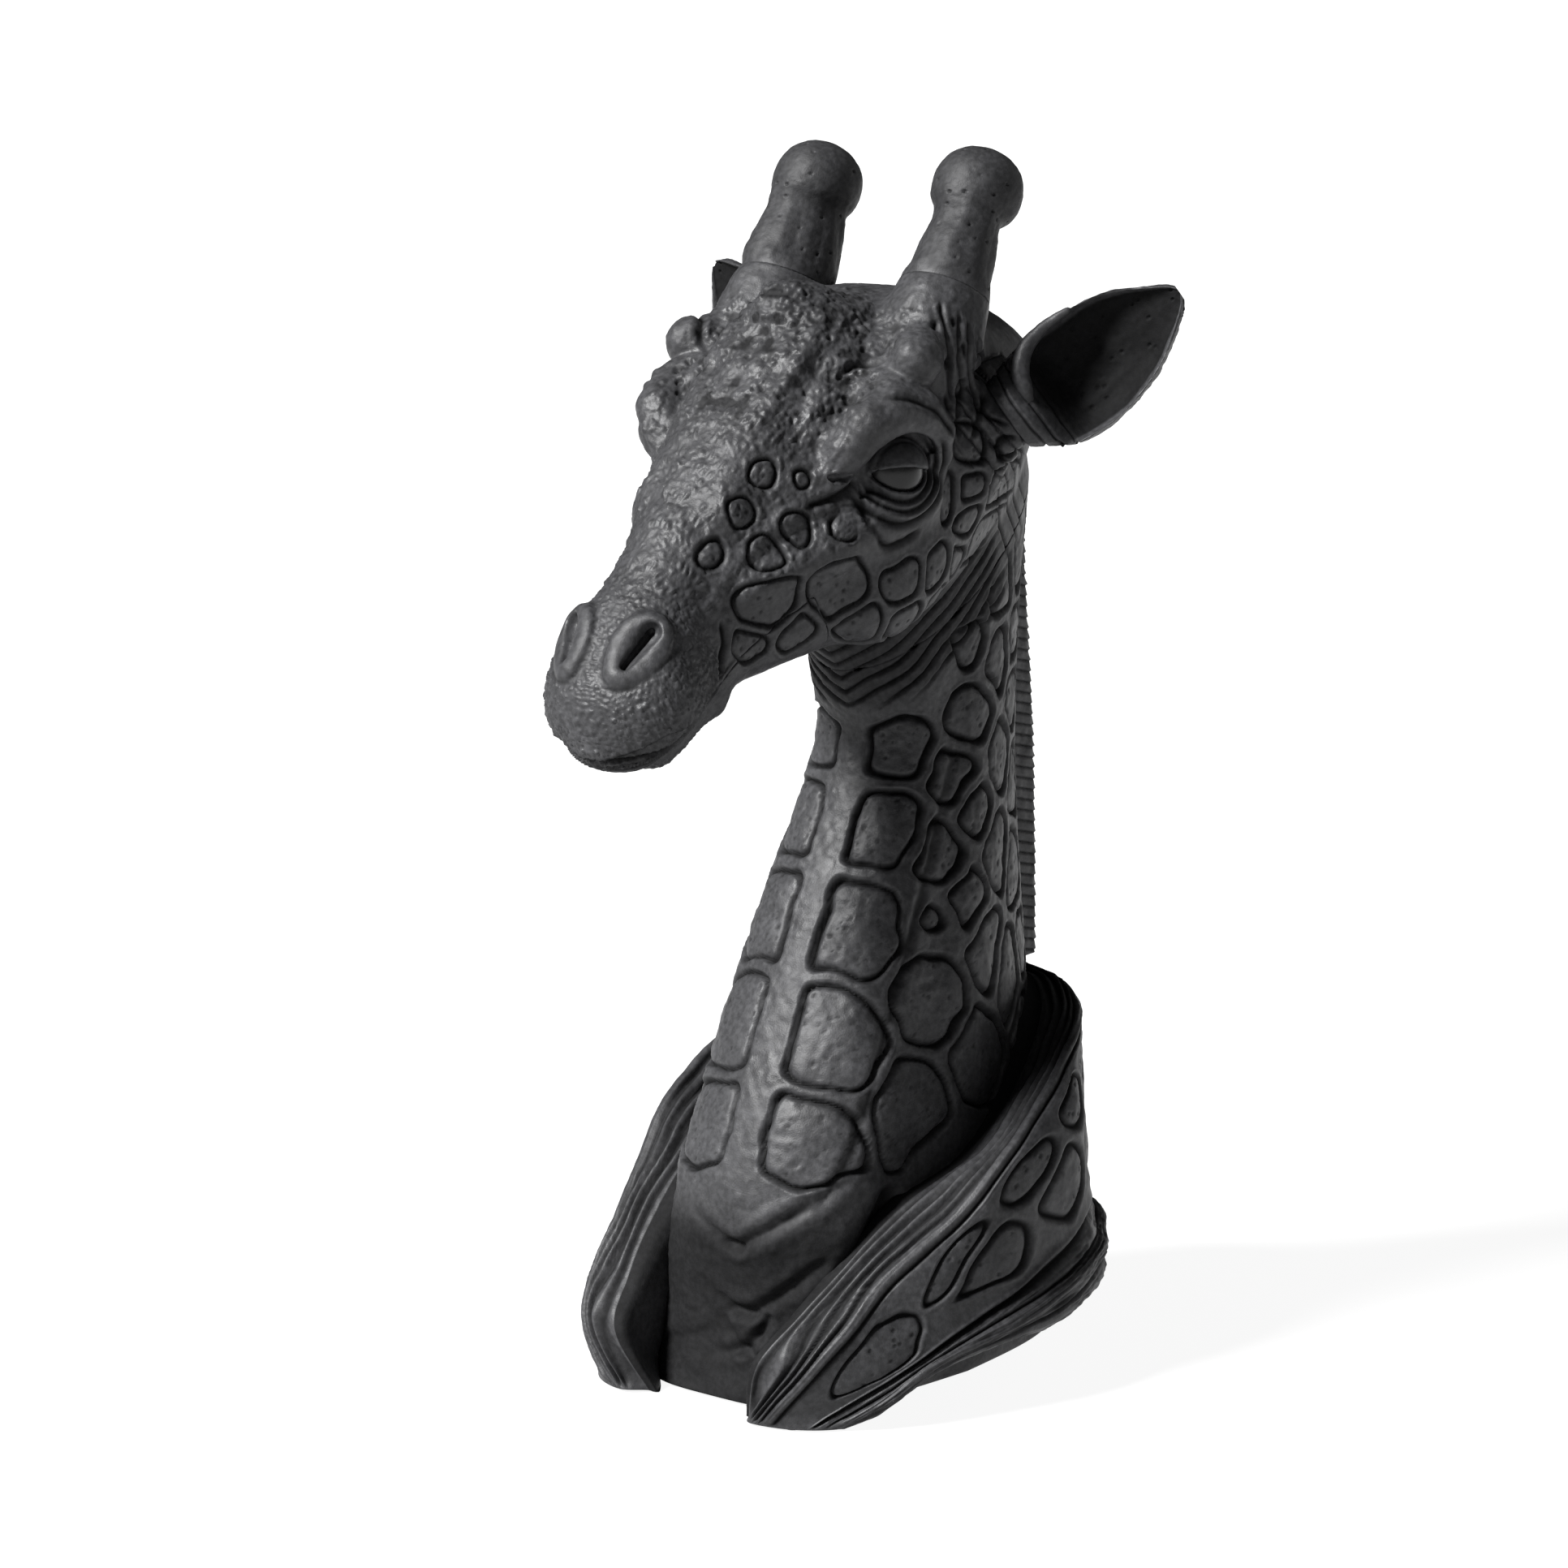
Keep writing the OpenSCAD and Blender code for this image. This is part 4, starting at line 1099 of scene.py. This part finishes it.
def carve_mantle(side):
    """One half of the mantle with its folds, strands and patches, and painted shade in its folds, creases
    and patch edges, between its strands and over its inner face.
    """
    grid, q, turn = build_mantle(side)
    v, faces = solid(grid)
    r = Relief(v, vertex_normals(v, faces))
    qq, tt = np.meshgrid(np.pad(q, 2, "edge"), turn, indexing="ij")
    qq, tt = qq.ravel(), tt.ravel()
    seam = step(qq, 0, 0.02) * fall(qq, 0.985, 1.0)
    wander = tt + 0.10 * noise(v, 40, 1) + 0.03 * noise(v, 14, 2)
    wander = wander - 0.55 * fall(qq, 0, 0.30) * step(tt, 0, 0.8) * fall(tt, 2.0, 2.9)
    # Folds of the lapel inside the collar's ridge, with painted shade in them
    for place, depth, width in ((0.18, 1.6, 0.06), (0.42, 2.2, 0.07), (0.62, 1.8, 0.05), (0.80, 1.5, 0.05)):
        wave = 0.5 * bell(wander, place + 0.11, 0.06) - bell(wander, place, width)
        r.add(depth * wave, seam)
        r.paint_shade_and_dull(0.8 * bell(wander, place, width) * seam)
    # Fine strands along the lapel, the furrow and the hem, with painted shade between them
    fine = noise(np.stack([qq * 12, wander * 22, 0 * qq], -1), 1.0, 3)
    finer = noise(np.stack([qq * 20, wander * 50, 0 * qq], -1), 1.0, 4)
    strands = step(wander, 0.25, 0.4) * fall(wander, 0.88, 0.97)
    strands = strands + step(wander, 2.75, 3.0) * fall(wander, 5.2, 5.5)
    strands = strands + 0.35 * step(wander, 0.95, 1.05) * fall(wander, 1.2, 1.4)
    r.add(0.55 * fine + 0.55 * finer, strands)
    r.paint_shade_and_dull(0.5 * step(-fine, 0.15, 0.6) * strands)
    # The panel: patches between straps, and a crease above and below, with painted shade in the patch edges
    # and in the creases
    flat_place = np.stack([qq * PANEL_LONG, wander * PANEL_TALL, 0 * qq], -1)
    seeds = [(c[0] * PANEL_LONG, c[1] * PANEL_TALL, 0) + c[2:] for c in PANEL_PATCHES]
    blanks = [(a * PANEL_LONG, b * PANEL_TALL, 0) for a in np.linspace(0, 1, 16) for b in (1.1, 2.88)]
    blanks += [(0.02 * PANEL_LONG, 2.0 * PANEL_TALL, 0)]
    panel = step(wander, 1.2, 1.32) * fall(wander, 2.68, 2.84) * seam
    flat = r.patches(seeds, blanks, 2.8, panel, 1.7, 1.5, 0.9, flat_place)
    r.pits(4.5, 0.35, flat, 2)
    r.add(0.22 * noise(v, 5, 1) + 0.12 * noise(v, 2.4, 2), flat)
    for place, depth, width in ((1.16, 1.3, 0.05), (2.9, 2.4, 0.09), (3.35, 1.2, 0.07), (4.3, 1.4, 0.07)):
        r.add(-depth * bell(wander, place, width) + 0.4 * depth * bell(wander, place - 0.13, 0.06), seam)
        r.paint_shade_and_dull(bell(wander, place, width) * seam)
    # The hem's roll and general unevenness
    r.add(1.1 * bell(wander, 3.85, 0.35) + 0.9 * bell(wander, 1.0, 0.13), seam)
    r.add(0.9 * noise(v, 22, 5) + 0.15 * noise(v, 3, 6))
    hidden = step(tt, 5.6, 6.0)
    r.push *= (1 - hidden) * step(v[:, 2], 0.5, 6)
    r.painted_shade_and_dulling *= 1 - hidden
    # Painted shade over the mantle's inner face, where it turns in towards the neck.
    r.paint_shade_and_dull(0.8 * step(tt, 7.0, 7.5))
    p = r.result()
    p[:, 2] = np.maximum(p[:, 2], 0.3)
    return p, faces, r.painted_shade_and_dulling


# --- Ears and ossicones ---------------------------------------------------------------

EAR_X = unit((EAR_TIP - EAR_ROOT)[None])[0]
EAR_OUT = unit(np.cross([0.42, -0.88, 0.15], EAR_X)[None])[0]
EAR_FACE = np.cross(EAR_X, EAR_OUT)
# u along the ear, lower edge v, upper edge v, cup depth, how far the cup has opened
EAR_STATIONS = [
    [0, -16, 14.5, 8, 0],
    [7, -20.5, 16.5, 12, 0.2],
    [15, -25, 18.5, 16, 0.65],
    [24, -26.5, 19.5, 18, 0.97],
    [36, -26.5, 19.5, 18, 1],
    [48, -24, 19, 15.5, 1],
    [60, -19.5, 16, 11, 1],
    [71, -13, 10, 6, 1],
    [79, -7, 5, 2, 1],
    [82, -3, 2, 0.5, 1],
]
# The front edge rolled in over the cup: u, v, w, radius
EAR_ROLL = [
    [6, -5, 3.5, 2.6], [11, 3, 6, 3.7], [14, 10, 6, 3.8], [20.5, 16.2, 4.2, 3.3], [31, 19.2, 2, 2.3],
    [44, 19.2, 1.2, 1.4],
]
EAR_WALL = 2.3
ROLL_ROWS, ROLL_COLS = 60, 40


def build_ear():
    """The left ear: a tube at its root that opens into a cup with a rolled rim, with painted shade deep in
    the cup and between the rings at its root.
    """
    rows, cols = ((190, 260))
    q = np.linspace(0, 1, rows)
    st = curve(EAR_STATIONS, q)[:, None, :]
    phi = (np.arange(cols) * math.tau / cols)[None, :]
    e = np.arcsin(np.sin(phi)) * 2 / math.pi
    face = np.clip(np.cos(phi) * 2.6, -1, 1)
    face = np.sin(face * math.pi / 2)
    mid, half = (st[..., 1] + st[..., 2]) / 2, (st[..., 2] - st[..., 1]) / 2
    opened = np.clip(st[..., 4], 0, 1)
    roll = bell(np.abs(e), 0.93, 0.10) * opened
    thick = EAR_WALL * (1 - np.abs(e) * 0.35) * (1 - 0.35 * step(st[..., 0], 60, 82)) + 1.7 * roll
    inner = np.clip(face, 0, 1)
    u, hollow = st[..., 0], st[..., 3]
    # Long low ribs inside the cup, and the fold where its front edge turns in
    ribs = 0.5 * bell(e, -0.30, 0.07) + 0.4 * bell(e, 0.05, 0.06)
    ribs = ribs * step(u, 14, 30) * fall(u, 45, 62) * inner
    open_w = -hollow * (1 - np.abs(e) ** 2.6) + face * thick + ribs
    round_w = face * np.maximum(half * np.cos(math.pi / 2 * e), 1.2)
    v = mid + (half - face * 1.2 * opened) * np.sin(math.pi / 2 * e)
    w = round_w * (1 - opened) + open_w * opened
    grid = EAR_ROOT + u[..., None] * EAR_X + v[..., None] * EAR_OUT + w[..., None] * EAR_FACE
    points, faces = solid(grid)
    r = Relief(points, vertex_normals(points, faces))
    uu = np.repeat(np.pad(u[:, 0], 2, "edge"), cols)
    inside = np.tile(inner[0], rows + 4)
    r.pits(5.0, 0.7, inside * step(uu, 20, 30), 2, 0.22)
    # Rings round the root, with painted shade in their furrows.
    rings = np.abs(np.sin(math.pi * (uu + 0.8 * noise(points, 9, 2)) / 5.2))
    base = fall(uu, 13, 22)
    r.add(-1.1 * fall(rings, 0, 0.55), base * step(uu, 0, 1.5))
    r.paint_shade_and_dull(fall(rings, 0, 0.3) * base)
    # Painted shade deep inside the cup.
    deep = np.tile((inner * fall(np.abs(e), 0.74, 0.86))[0], rows + 4)
    r.paint_shade_and_dull(0.88 * deep * step(uu, 10, 17))
    hair = noise(points * (0.6, 0.6, 1.6), 2.2, 3)
    r.add(0.28 * hair, (1 - inside) * step(uu, 14, 30))
    r.add(0.35 * noise(points, 8, 1) + 0.12 * noise(points, 2, 4))
    r.push *= step(uu, 0, 2)
    # The rolled front edge, with fine unevenness over it
    path = curve(EAR_ROLL, np.linspace(0, 1, ROLL_ROWS))
    centre = EAR_ROOT + path[:, :1] * EAR_X + path[:, 1:2] * EAR_OUT + path[:, 2:3] * EAR_FACE
    along = unit(np.gradient(centre, axis=0))
    a = np.arange(ROLL_COLS) * math.tau / ROLL_COLS
    one = unit(np.cross(along, EAR_FACE))
    two = np.cross(along, one)
    size = path[:, 3] * np.sqrt(np.clip(1 - np.linspace(-1, 1, ROLL_ROWS) ** 16, 0.01, 1))
    across = np.cos(a)[None, :, None] * one[:, None] + np.sin(a)[None, :, None] * two[:, None]
    tube = centre[:, None] + size[:, None, None] * across
    tube_points, tube_faces = solid(tube)
    roll_relief = Relief(tube_points, vertex_normals(tube_points, tube_faces))
    roll_relief.add(0.25 * noise(tube_points, 5, 1) + 0.12 * noise(tube_points, 1.8, 2))
    both = np.concatenate([r.result(), roll_relief.result()])
    painted_shade_and_dulling = np.concatenate([r.painted_shade_and_dulling, roll_relief.painted_shade_and_dulling])
    return both, np.concatenate([faces, tube_faces + len(points)]), painted_shade_and_dulling


# Heights over the joint, and the radius at each
OSS_H = [0, 8, 17, 25, 30, 33.5, 36, 38, 41, 45, 50, 55, 58.6, 60.8, 61.6]
OSS_R = [18.9, 18.0, 16.9, 15.5, 14.5, 14.6, 15.8, 17.0, 17.9, 18.2, 17.4, 14.9, 10.9, 6.0, 0.2]


def build_ossicone():
    """The left ossicone: a stem that narrows upwards and a flattened knob."""
    rows, cols = ((190, 170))
    h = np.interp(np.linspace(0, 1, rows), np.linspace(0, 1, len(OSS_H)), OSS_H)
    radius = curve(np.array(OSS_R)[:, None], np.linspace(0, 1, rows))[:, 0]
    radius = np.clip(radius, 0.2, 18.3)
    # The stem is oval, longest to the front and outwards.
    oval = 0.10 * step(h, 0, 9) * fall(h, 31, 37)
    a = np.arange(cols) * math.tau / cols
    side = unit(np.cross(OSS_AXIS, [0, 1, 0])[None])[0]
    front = np.cross(OSS_AXIS, side)
    # Flats left by the chisel on the stem, softer on the knob
    flats = np.abs((a[None, :] * 9 / math.tau + 0.12 * np.sin(h[:, None] / 9)) % 1 - 0.5)
    shave = 0.7 * bell(h, 18, 17)[:, None] * (flats - 0.25) * 2
    knob_flats = np.abs((a[None, :] * 7 / math.tau + 0.3) % 1 - 0.5)
    shave = shave + 0.5 * bell(h, 48, 9)[:, None] * (knob_flats - 0.25)
    turn, face = (math.atan2(front @ way, side @ way) for way in ((0.616, -0.788, 0), (0, -1, 0)))
    # In front the knob runs down into the stem with no waist.
    filled = 2.4 * bell(h, 34, 4.5)[:, None] * np.clip(np.cos(a[None, :] - face), 0, 1)
    r = filled + radius[:, None] * (1 + oval[:, None] * np.cos(2 * (a[None, :] - turn)))
    r = r + shave * step(h, 0, 4)[:, None] * fall(h, 56, 61)[:, None]
    grid = OSS_JOINT + h[:, None, None] * OSS_AXIS + r[..., None] * (
        np.cos(a)[None, :, None] * side + np.sin(a)[None, :, None] * front
    )
    points, faces = solid(grid)
    relief = Relief(points, vertex_normals(points, faces))
    hh = np.repeat(np.pad(h, 2, "edge"), cols)
    live = step(hh, 0, 4)
    relief.pits(6.0, 0.7, live, 4, 0.16)
    relief.add(0.3 * noise(points * (1, 1, 0.35), 4.5, 2) * fall(hh, 30, 38), live)
    uneven = 0.20 * noise(points, 7, 1) + 0.12 * noise(points, 2.4, 5) + 0.08 * noise(points, 1.3, 6)
    relief.add(uneven, live)
    groove = bell(hh, 33.2, 1.6)
    relief.add(-0.2 * groove, live)
    # The painted-shade layer at a quarter strength over the whole ossicone, for a darker, duller finish
    # than the head's; its pits also get painted shade.
    relief.paint_shade_and_dull(0.25 * live)
    relief.push *= fall(hh, 57, 61)
    return relief.result(), faces, relief.painted_shade_and_dulling


def mirrored(v, faces):
    """The same piece on the right."""
    return v * np.array([-1, 1, 1]), faces[:, ::-1]


def build_eye():
    """The left eyeball."""
    rows, cols = 48, 72
    polar = np.linspace(0.02, math.pi - 0.02, rows)
    a = np.arange(cols) * math.tau / cols
    ring = np.sin(polar)[:, None, None]
    grid = EYE + EYE_R * (
        np.cos(polar)[:, None, None] * EYE_OUT
        + ring * (np.cos(a)[None, :, None] * EYE_UP + np.sin(a)[None, :, None] * EYE_ALONG)
    )
    return solid(from_head(grid))


# --- Materials ------------------------------------------------------------------------


class Look:
    """A material being wired up."""

    def __init__(self, name):
        self.material = bpy.data.materials.new(name)
        self.material.use_nodes = True
        self.nodes, self.links = self.material.node_tree.nodes, self.material.node_tree.links

    def plug(self, socket, value):
        """Feeds a socket from another one, or sets its value."""
        if isinstance(value, bpy.types.NodeSocket):
            self.links.new(value, socket)
        else:
            socket.default_value = value

    def node(self, kind, **values):
        """A new node with its inputs plugged; a name's underscores stand for spaces."""
        node = self.nodes.new("ShaderNode" + kind)
        for name, value in values.items():
            self.plug(node.inputs[name.replace("_", " ")], value)
        return node

    def surface(self, **values):
        """Inputs of the Principled node."""
        for name, value in values.items():
            self.plug(self.nodes["Principled BSDF"].inputs[name.replace("_", " ")], value)

    def noise(self, scale, detail, rough=0.5):
        """Noise in the object's own space."""
        place = self.node("TexCoord").outputs["Object"]
        return self.node(
            "TexNoise", Vector=place, Scale=scale, Detail=detail, Roughness=rough
        ).outputs["Fac"]

    def ramp(self, source, low, high):
        """A value from near-grey to near-grey, a trace bluer than neutral; each stop is (place, value)."""
        node = self.node("ValToRGB", Fac=source)
        for element, (place, value) in zip(node.color_ramp.elements, (low, high)):
            element.position = place
            element.color = (value, value, value * 1.03, 1)
        return node.outputs["Color"]

    def mix(self, how, factor, a, b):
        """Two colours mixed; each input is a socket or a number."""
        node = self.nodes.new("ShaderNodeMix")
        node.data_type = "RGBA"
        node.blend_type = how
        self.plug(node.inputs["Factor"], factor)
        for name, value in (("A", a), ("B", b)):
            grey = value if isinstance(value, bpy.types.NodeSocket) else (value, value, value, 1)
            self.plug(node.inputs[name], grey)
        return node.outputs["Result"]

    def roughen(self, height, strength, distance):
        """A bump too fine to be mesh."""
        bump = self.node("Bump", Strength=strength, Distance=distance, Height=height)
        self.surface(Normal=bump.outputs["Normal"])


def black_wood():
    """Blackened wood with a waxed, satin surface: uneven stain, fine pores, and painted shade in cuts and
    hollows.
    """
    look = Look("blackened_wood")
    cloud = look.ramp(look.noise(38, 5, 0.6), (0.30, 0.017), (0.72, 0.034))
    speck = look.ramp(look.noise(420, 3), (0.38, 0.7), (0.62, 1.15))
    stain = look.mix("MULTIPLY", 1.0, cloud, speck)
    sheen = look.ramp(look.noise(70, 4, 0.65), (0.3, 0.42), (0.7, 0.58))
    groove = look.node("Attribute")
    groove.attribute_name = "groove"
    depth = groove.outputs["Fac"]
    # The groove attribute paints shade: it darkens the colour almost to black, raises roughness and lowers
    # the highlight in cuts, folds, pits and hollows, and gives the ossicones a slightly darker, duller
    # finish.
    look.surface(
        Base_Color=look.mix("MIX", depth, stain, 0.002),
        Roughness=look.mix("MIX", depth, sheen, 0.8),
        Specular_IOR_Level=look.mix("MIX", depth, 0.22, 0.04),
    )
    look.roughen(look.mix("MIX", 0.4, look.noise(1500, 2, 0.6), look.noise(520, 3, 0.7)), 0.28, 0.0006)
    return look.material


def polished_eye():
    """The eyeball, darker and smoother than the carving."""
    look = Look("polished_eye")
    look.surface(
        Base_Color=look.ramp(look.noise(60, 3), (0.35, 0.004), (0.7, 0.009)),
        Roughness=look.ramp(look.noise(160, 4), (0.35, 0.24), (0.7, 0.34)),
        Specular_IOR_Level=0.28,
    )
    look.roughen(look.noise(700, 2), 0.1, 0.0003)
    return look.material


def dowel_wood():
    """Pale beech with fine lengthwise flecks."""
    look = Look("dowel_wood")
    place = look.node("TexCoord").outputs["Object"]
    stretch = look.node("Mapping", Vector=place, Scale=(260, 260, 30))
    fleck = look.node("TexNoise", Vector=stretch.outputs["Vector"], Detail=4).outputs["Fac"]
    tone = look.node("ValToRGB", Fac=fleck)
    tone.color_ramp.elements[0].color = (0.34, 0.20, 0.10, 1)
    tone.color_ramp.elements[1].color = (0.56, 0.38, 0.22, 1)
    look.surface(
        Base_Color=tone.outputs["Color"], Roughness=look.ramp(fleck, (0.3, 0.55), (0.7, 0.75))
    )
    return look.material


def felt_cloth():
    """Near-black felt: a matted pile."""
    look = Look("felt")
    pile = look.noise(900, 5, 0.7)
    look.surface(
        Base_Color=look.ramp(pile, (0.3, 0.008), (0.7, 0.03)), Roughness=0.95, Sheen_Weight=0.35
    )
    look.roughen(pile, 1, 0.0008)
    return look.material


# --- Putting it together --------------------------------------------------------------

wood = black_wood()
eye_finish = polished_eye()


def carved(node, v, faces, groove):
    """A carved piece of blackened wood in place of a CAD node."""
    make("carved_" + node, v, faces, node, groove, wood)


head_field = build_head()
whole_v, _ = head_field.mesh()
left = whole_v[whole_v[:, 0] > -2]
head_tree = tree_of(left[::2])
for name, (v, faces) in zip(("head_block", "lower_jaw"), cut_head(head_field)):
    relief = carve_head(v, head_field, head_tree)
    carved(name, from_head(relief.result()), faces, relief.painted_shade_and_dulling)

v, faces = build_neck()
relief = carve_neck(v, faces)
carved("neck_block", relief.result(), faces, relief.painted_shade_and_dulling)

carved("mane_strip", *build_mane())

for name, side in (("mantle_left", 1), ("mantle_right", -1)):
    carved(name, *carve_mantle(side))

for kind, build in (("ear", build_ear), ("ossicone", build_ossicone)):
    v, faces, painted_shade_and_dulling = build()
    carved(kind + "_left", v, faces, painted_shade_and_dulling)
    carved(kind + "_right", *mirrored(v, faces), painted_shade_and_dulling)

left_eye = build_eye()
for node, (v, faces) in (("eye_left", left_eye), ("eye_right", mirrored(*left_eye))):
    make("polished_" + node, v, faces, node, None, eye_finish)

# The CAD's own pieces only get a material.
dowels = ("head_dowels", "jaw_dowels", "ossicone_dowels", "ear_dowels", "mantle_dowels")
finishes = dict.fromkeys(dowels, dowel_wood())
finishes["base_felt"] = felt_cloth()
for name, finish in finishes.items():
    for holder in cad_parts[name].material_slots:
        holder.material = finish

# --- Floor, light and camera ----------------------------------------------------------

bpy.context.scene.view_settings.view_transform = "Standard"
world = bpy.data.worlds.new("studio")
bpy.context.scene.world = world
world.use_nodes = True
world.node_tree.nodes["Background"].inputs["Color"].default_value = (1, 1, 1, 1)
world.node_tree.nodes["Background"].inputs["Strength"].default_value = 0.05

bpy.ops.mesh.primitive_plane_add(size=100, location=(0, 0, 0))
floor = bpy.context.object
floor.name = "floor"
paint = Look("floor_paint")
paint.surface(
    Base_Color=(0.12, 0.12, 0.12, 1), Roughness=0.9,
    Emission_Color=(1, 1, 1, 1), Emission_Strength=0.92,
)
floor.data.materials.append(paint.material)


def lamp(name, kind, energy, direction, place=(0, 0, 0)):
    """A light that shines in a direction."""
    data = bpy.data.lights.new(name, kind)
    data.energy = energy
    light = bpy.data.objects.new(name, data)
    light.location = place
    light.rotation_mode = "QUATERNION"
    light.rotation_quaternion = Vector(direction).to_track_quat("-Z", "Y")
    bpy.context.scene.collection.objects.link(light)
    return data


for name, place, aim, size, watts in (
    ("fill", (1.8, -1.0, 0.9), (0, 0, 0.25), 1.2, 0.8),
    ("rim", (0.7, 1.6, 1.1), (0, 0, 0.3), 0.8, 3),
):
    lamp(name, "AREA", watts, Vector(aim) - Vector(place), place).size = size
# The key is a broad, distant light from the front and the bust's right, above it.
lamp("key", "SUN", 12, (0.40, 0.92, -0.86)).angle = math.radians(16)

# Where the camera stands round what it looks at, and its lens
AZIMUTH, ELEVATION, DISTANCE = math.radians(38), math.radians(11.12), 1.738
AIM_Y, AIM_Z = -0.050, 0.251
LENS, SENSOR = 100.4, 36
camera = bpy.data.objects.new("camera", bpy.data.cameras.new("camera"))
camera.data.sensor_width = SENSOR
camera.data.lens = LENS
camera.location = (
    DISTANCE * math.sin(AZIMUTH) * math.cos(ELEVATION),
    AIM_Y - DISTANCE * math.cos(AZIMUTH) * math.cos(ELEVATION),
    AIM_Z + DISTANCE * math.sin(ELEVATION),
)
camera.rotation_euler = (math.pi / 2 - ELEVATION, 0, AZIMUTH)
bpy.context.scene.collection.objects.link(camera)
bpy.context.scene.camera = camera
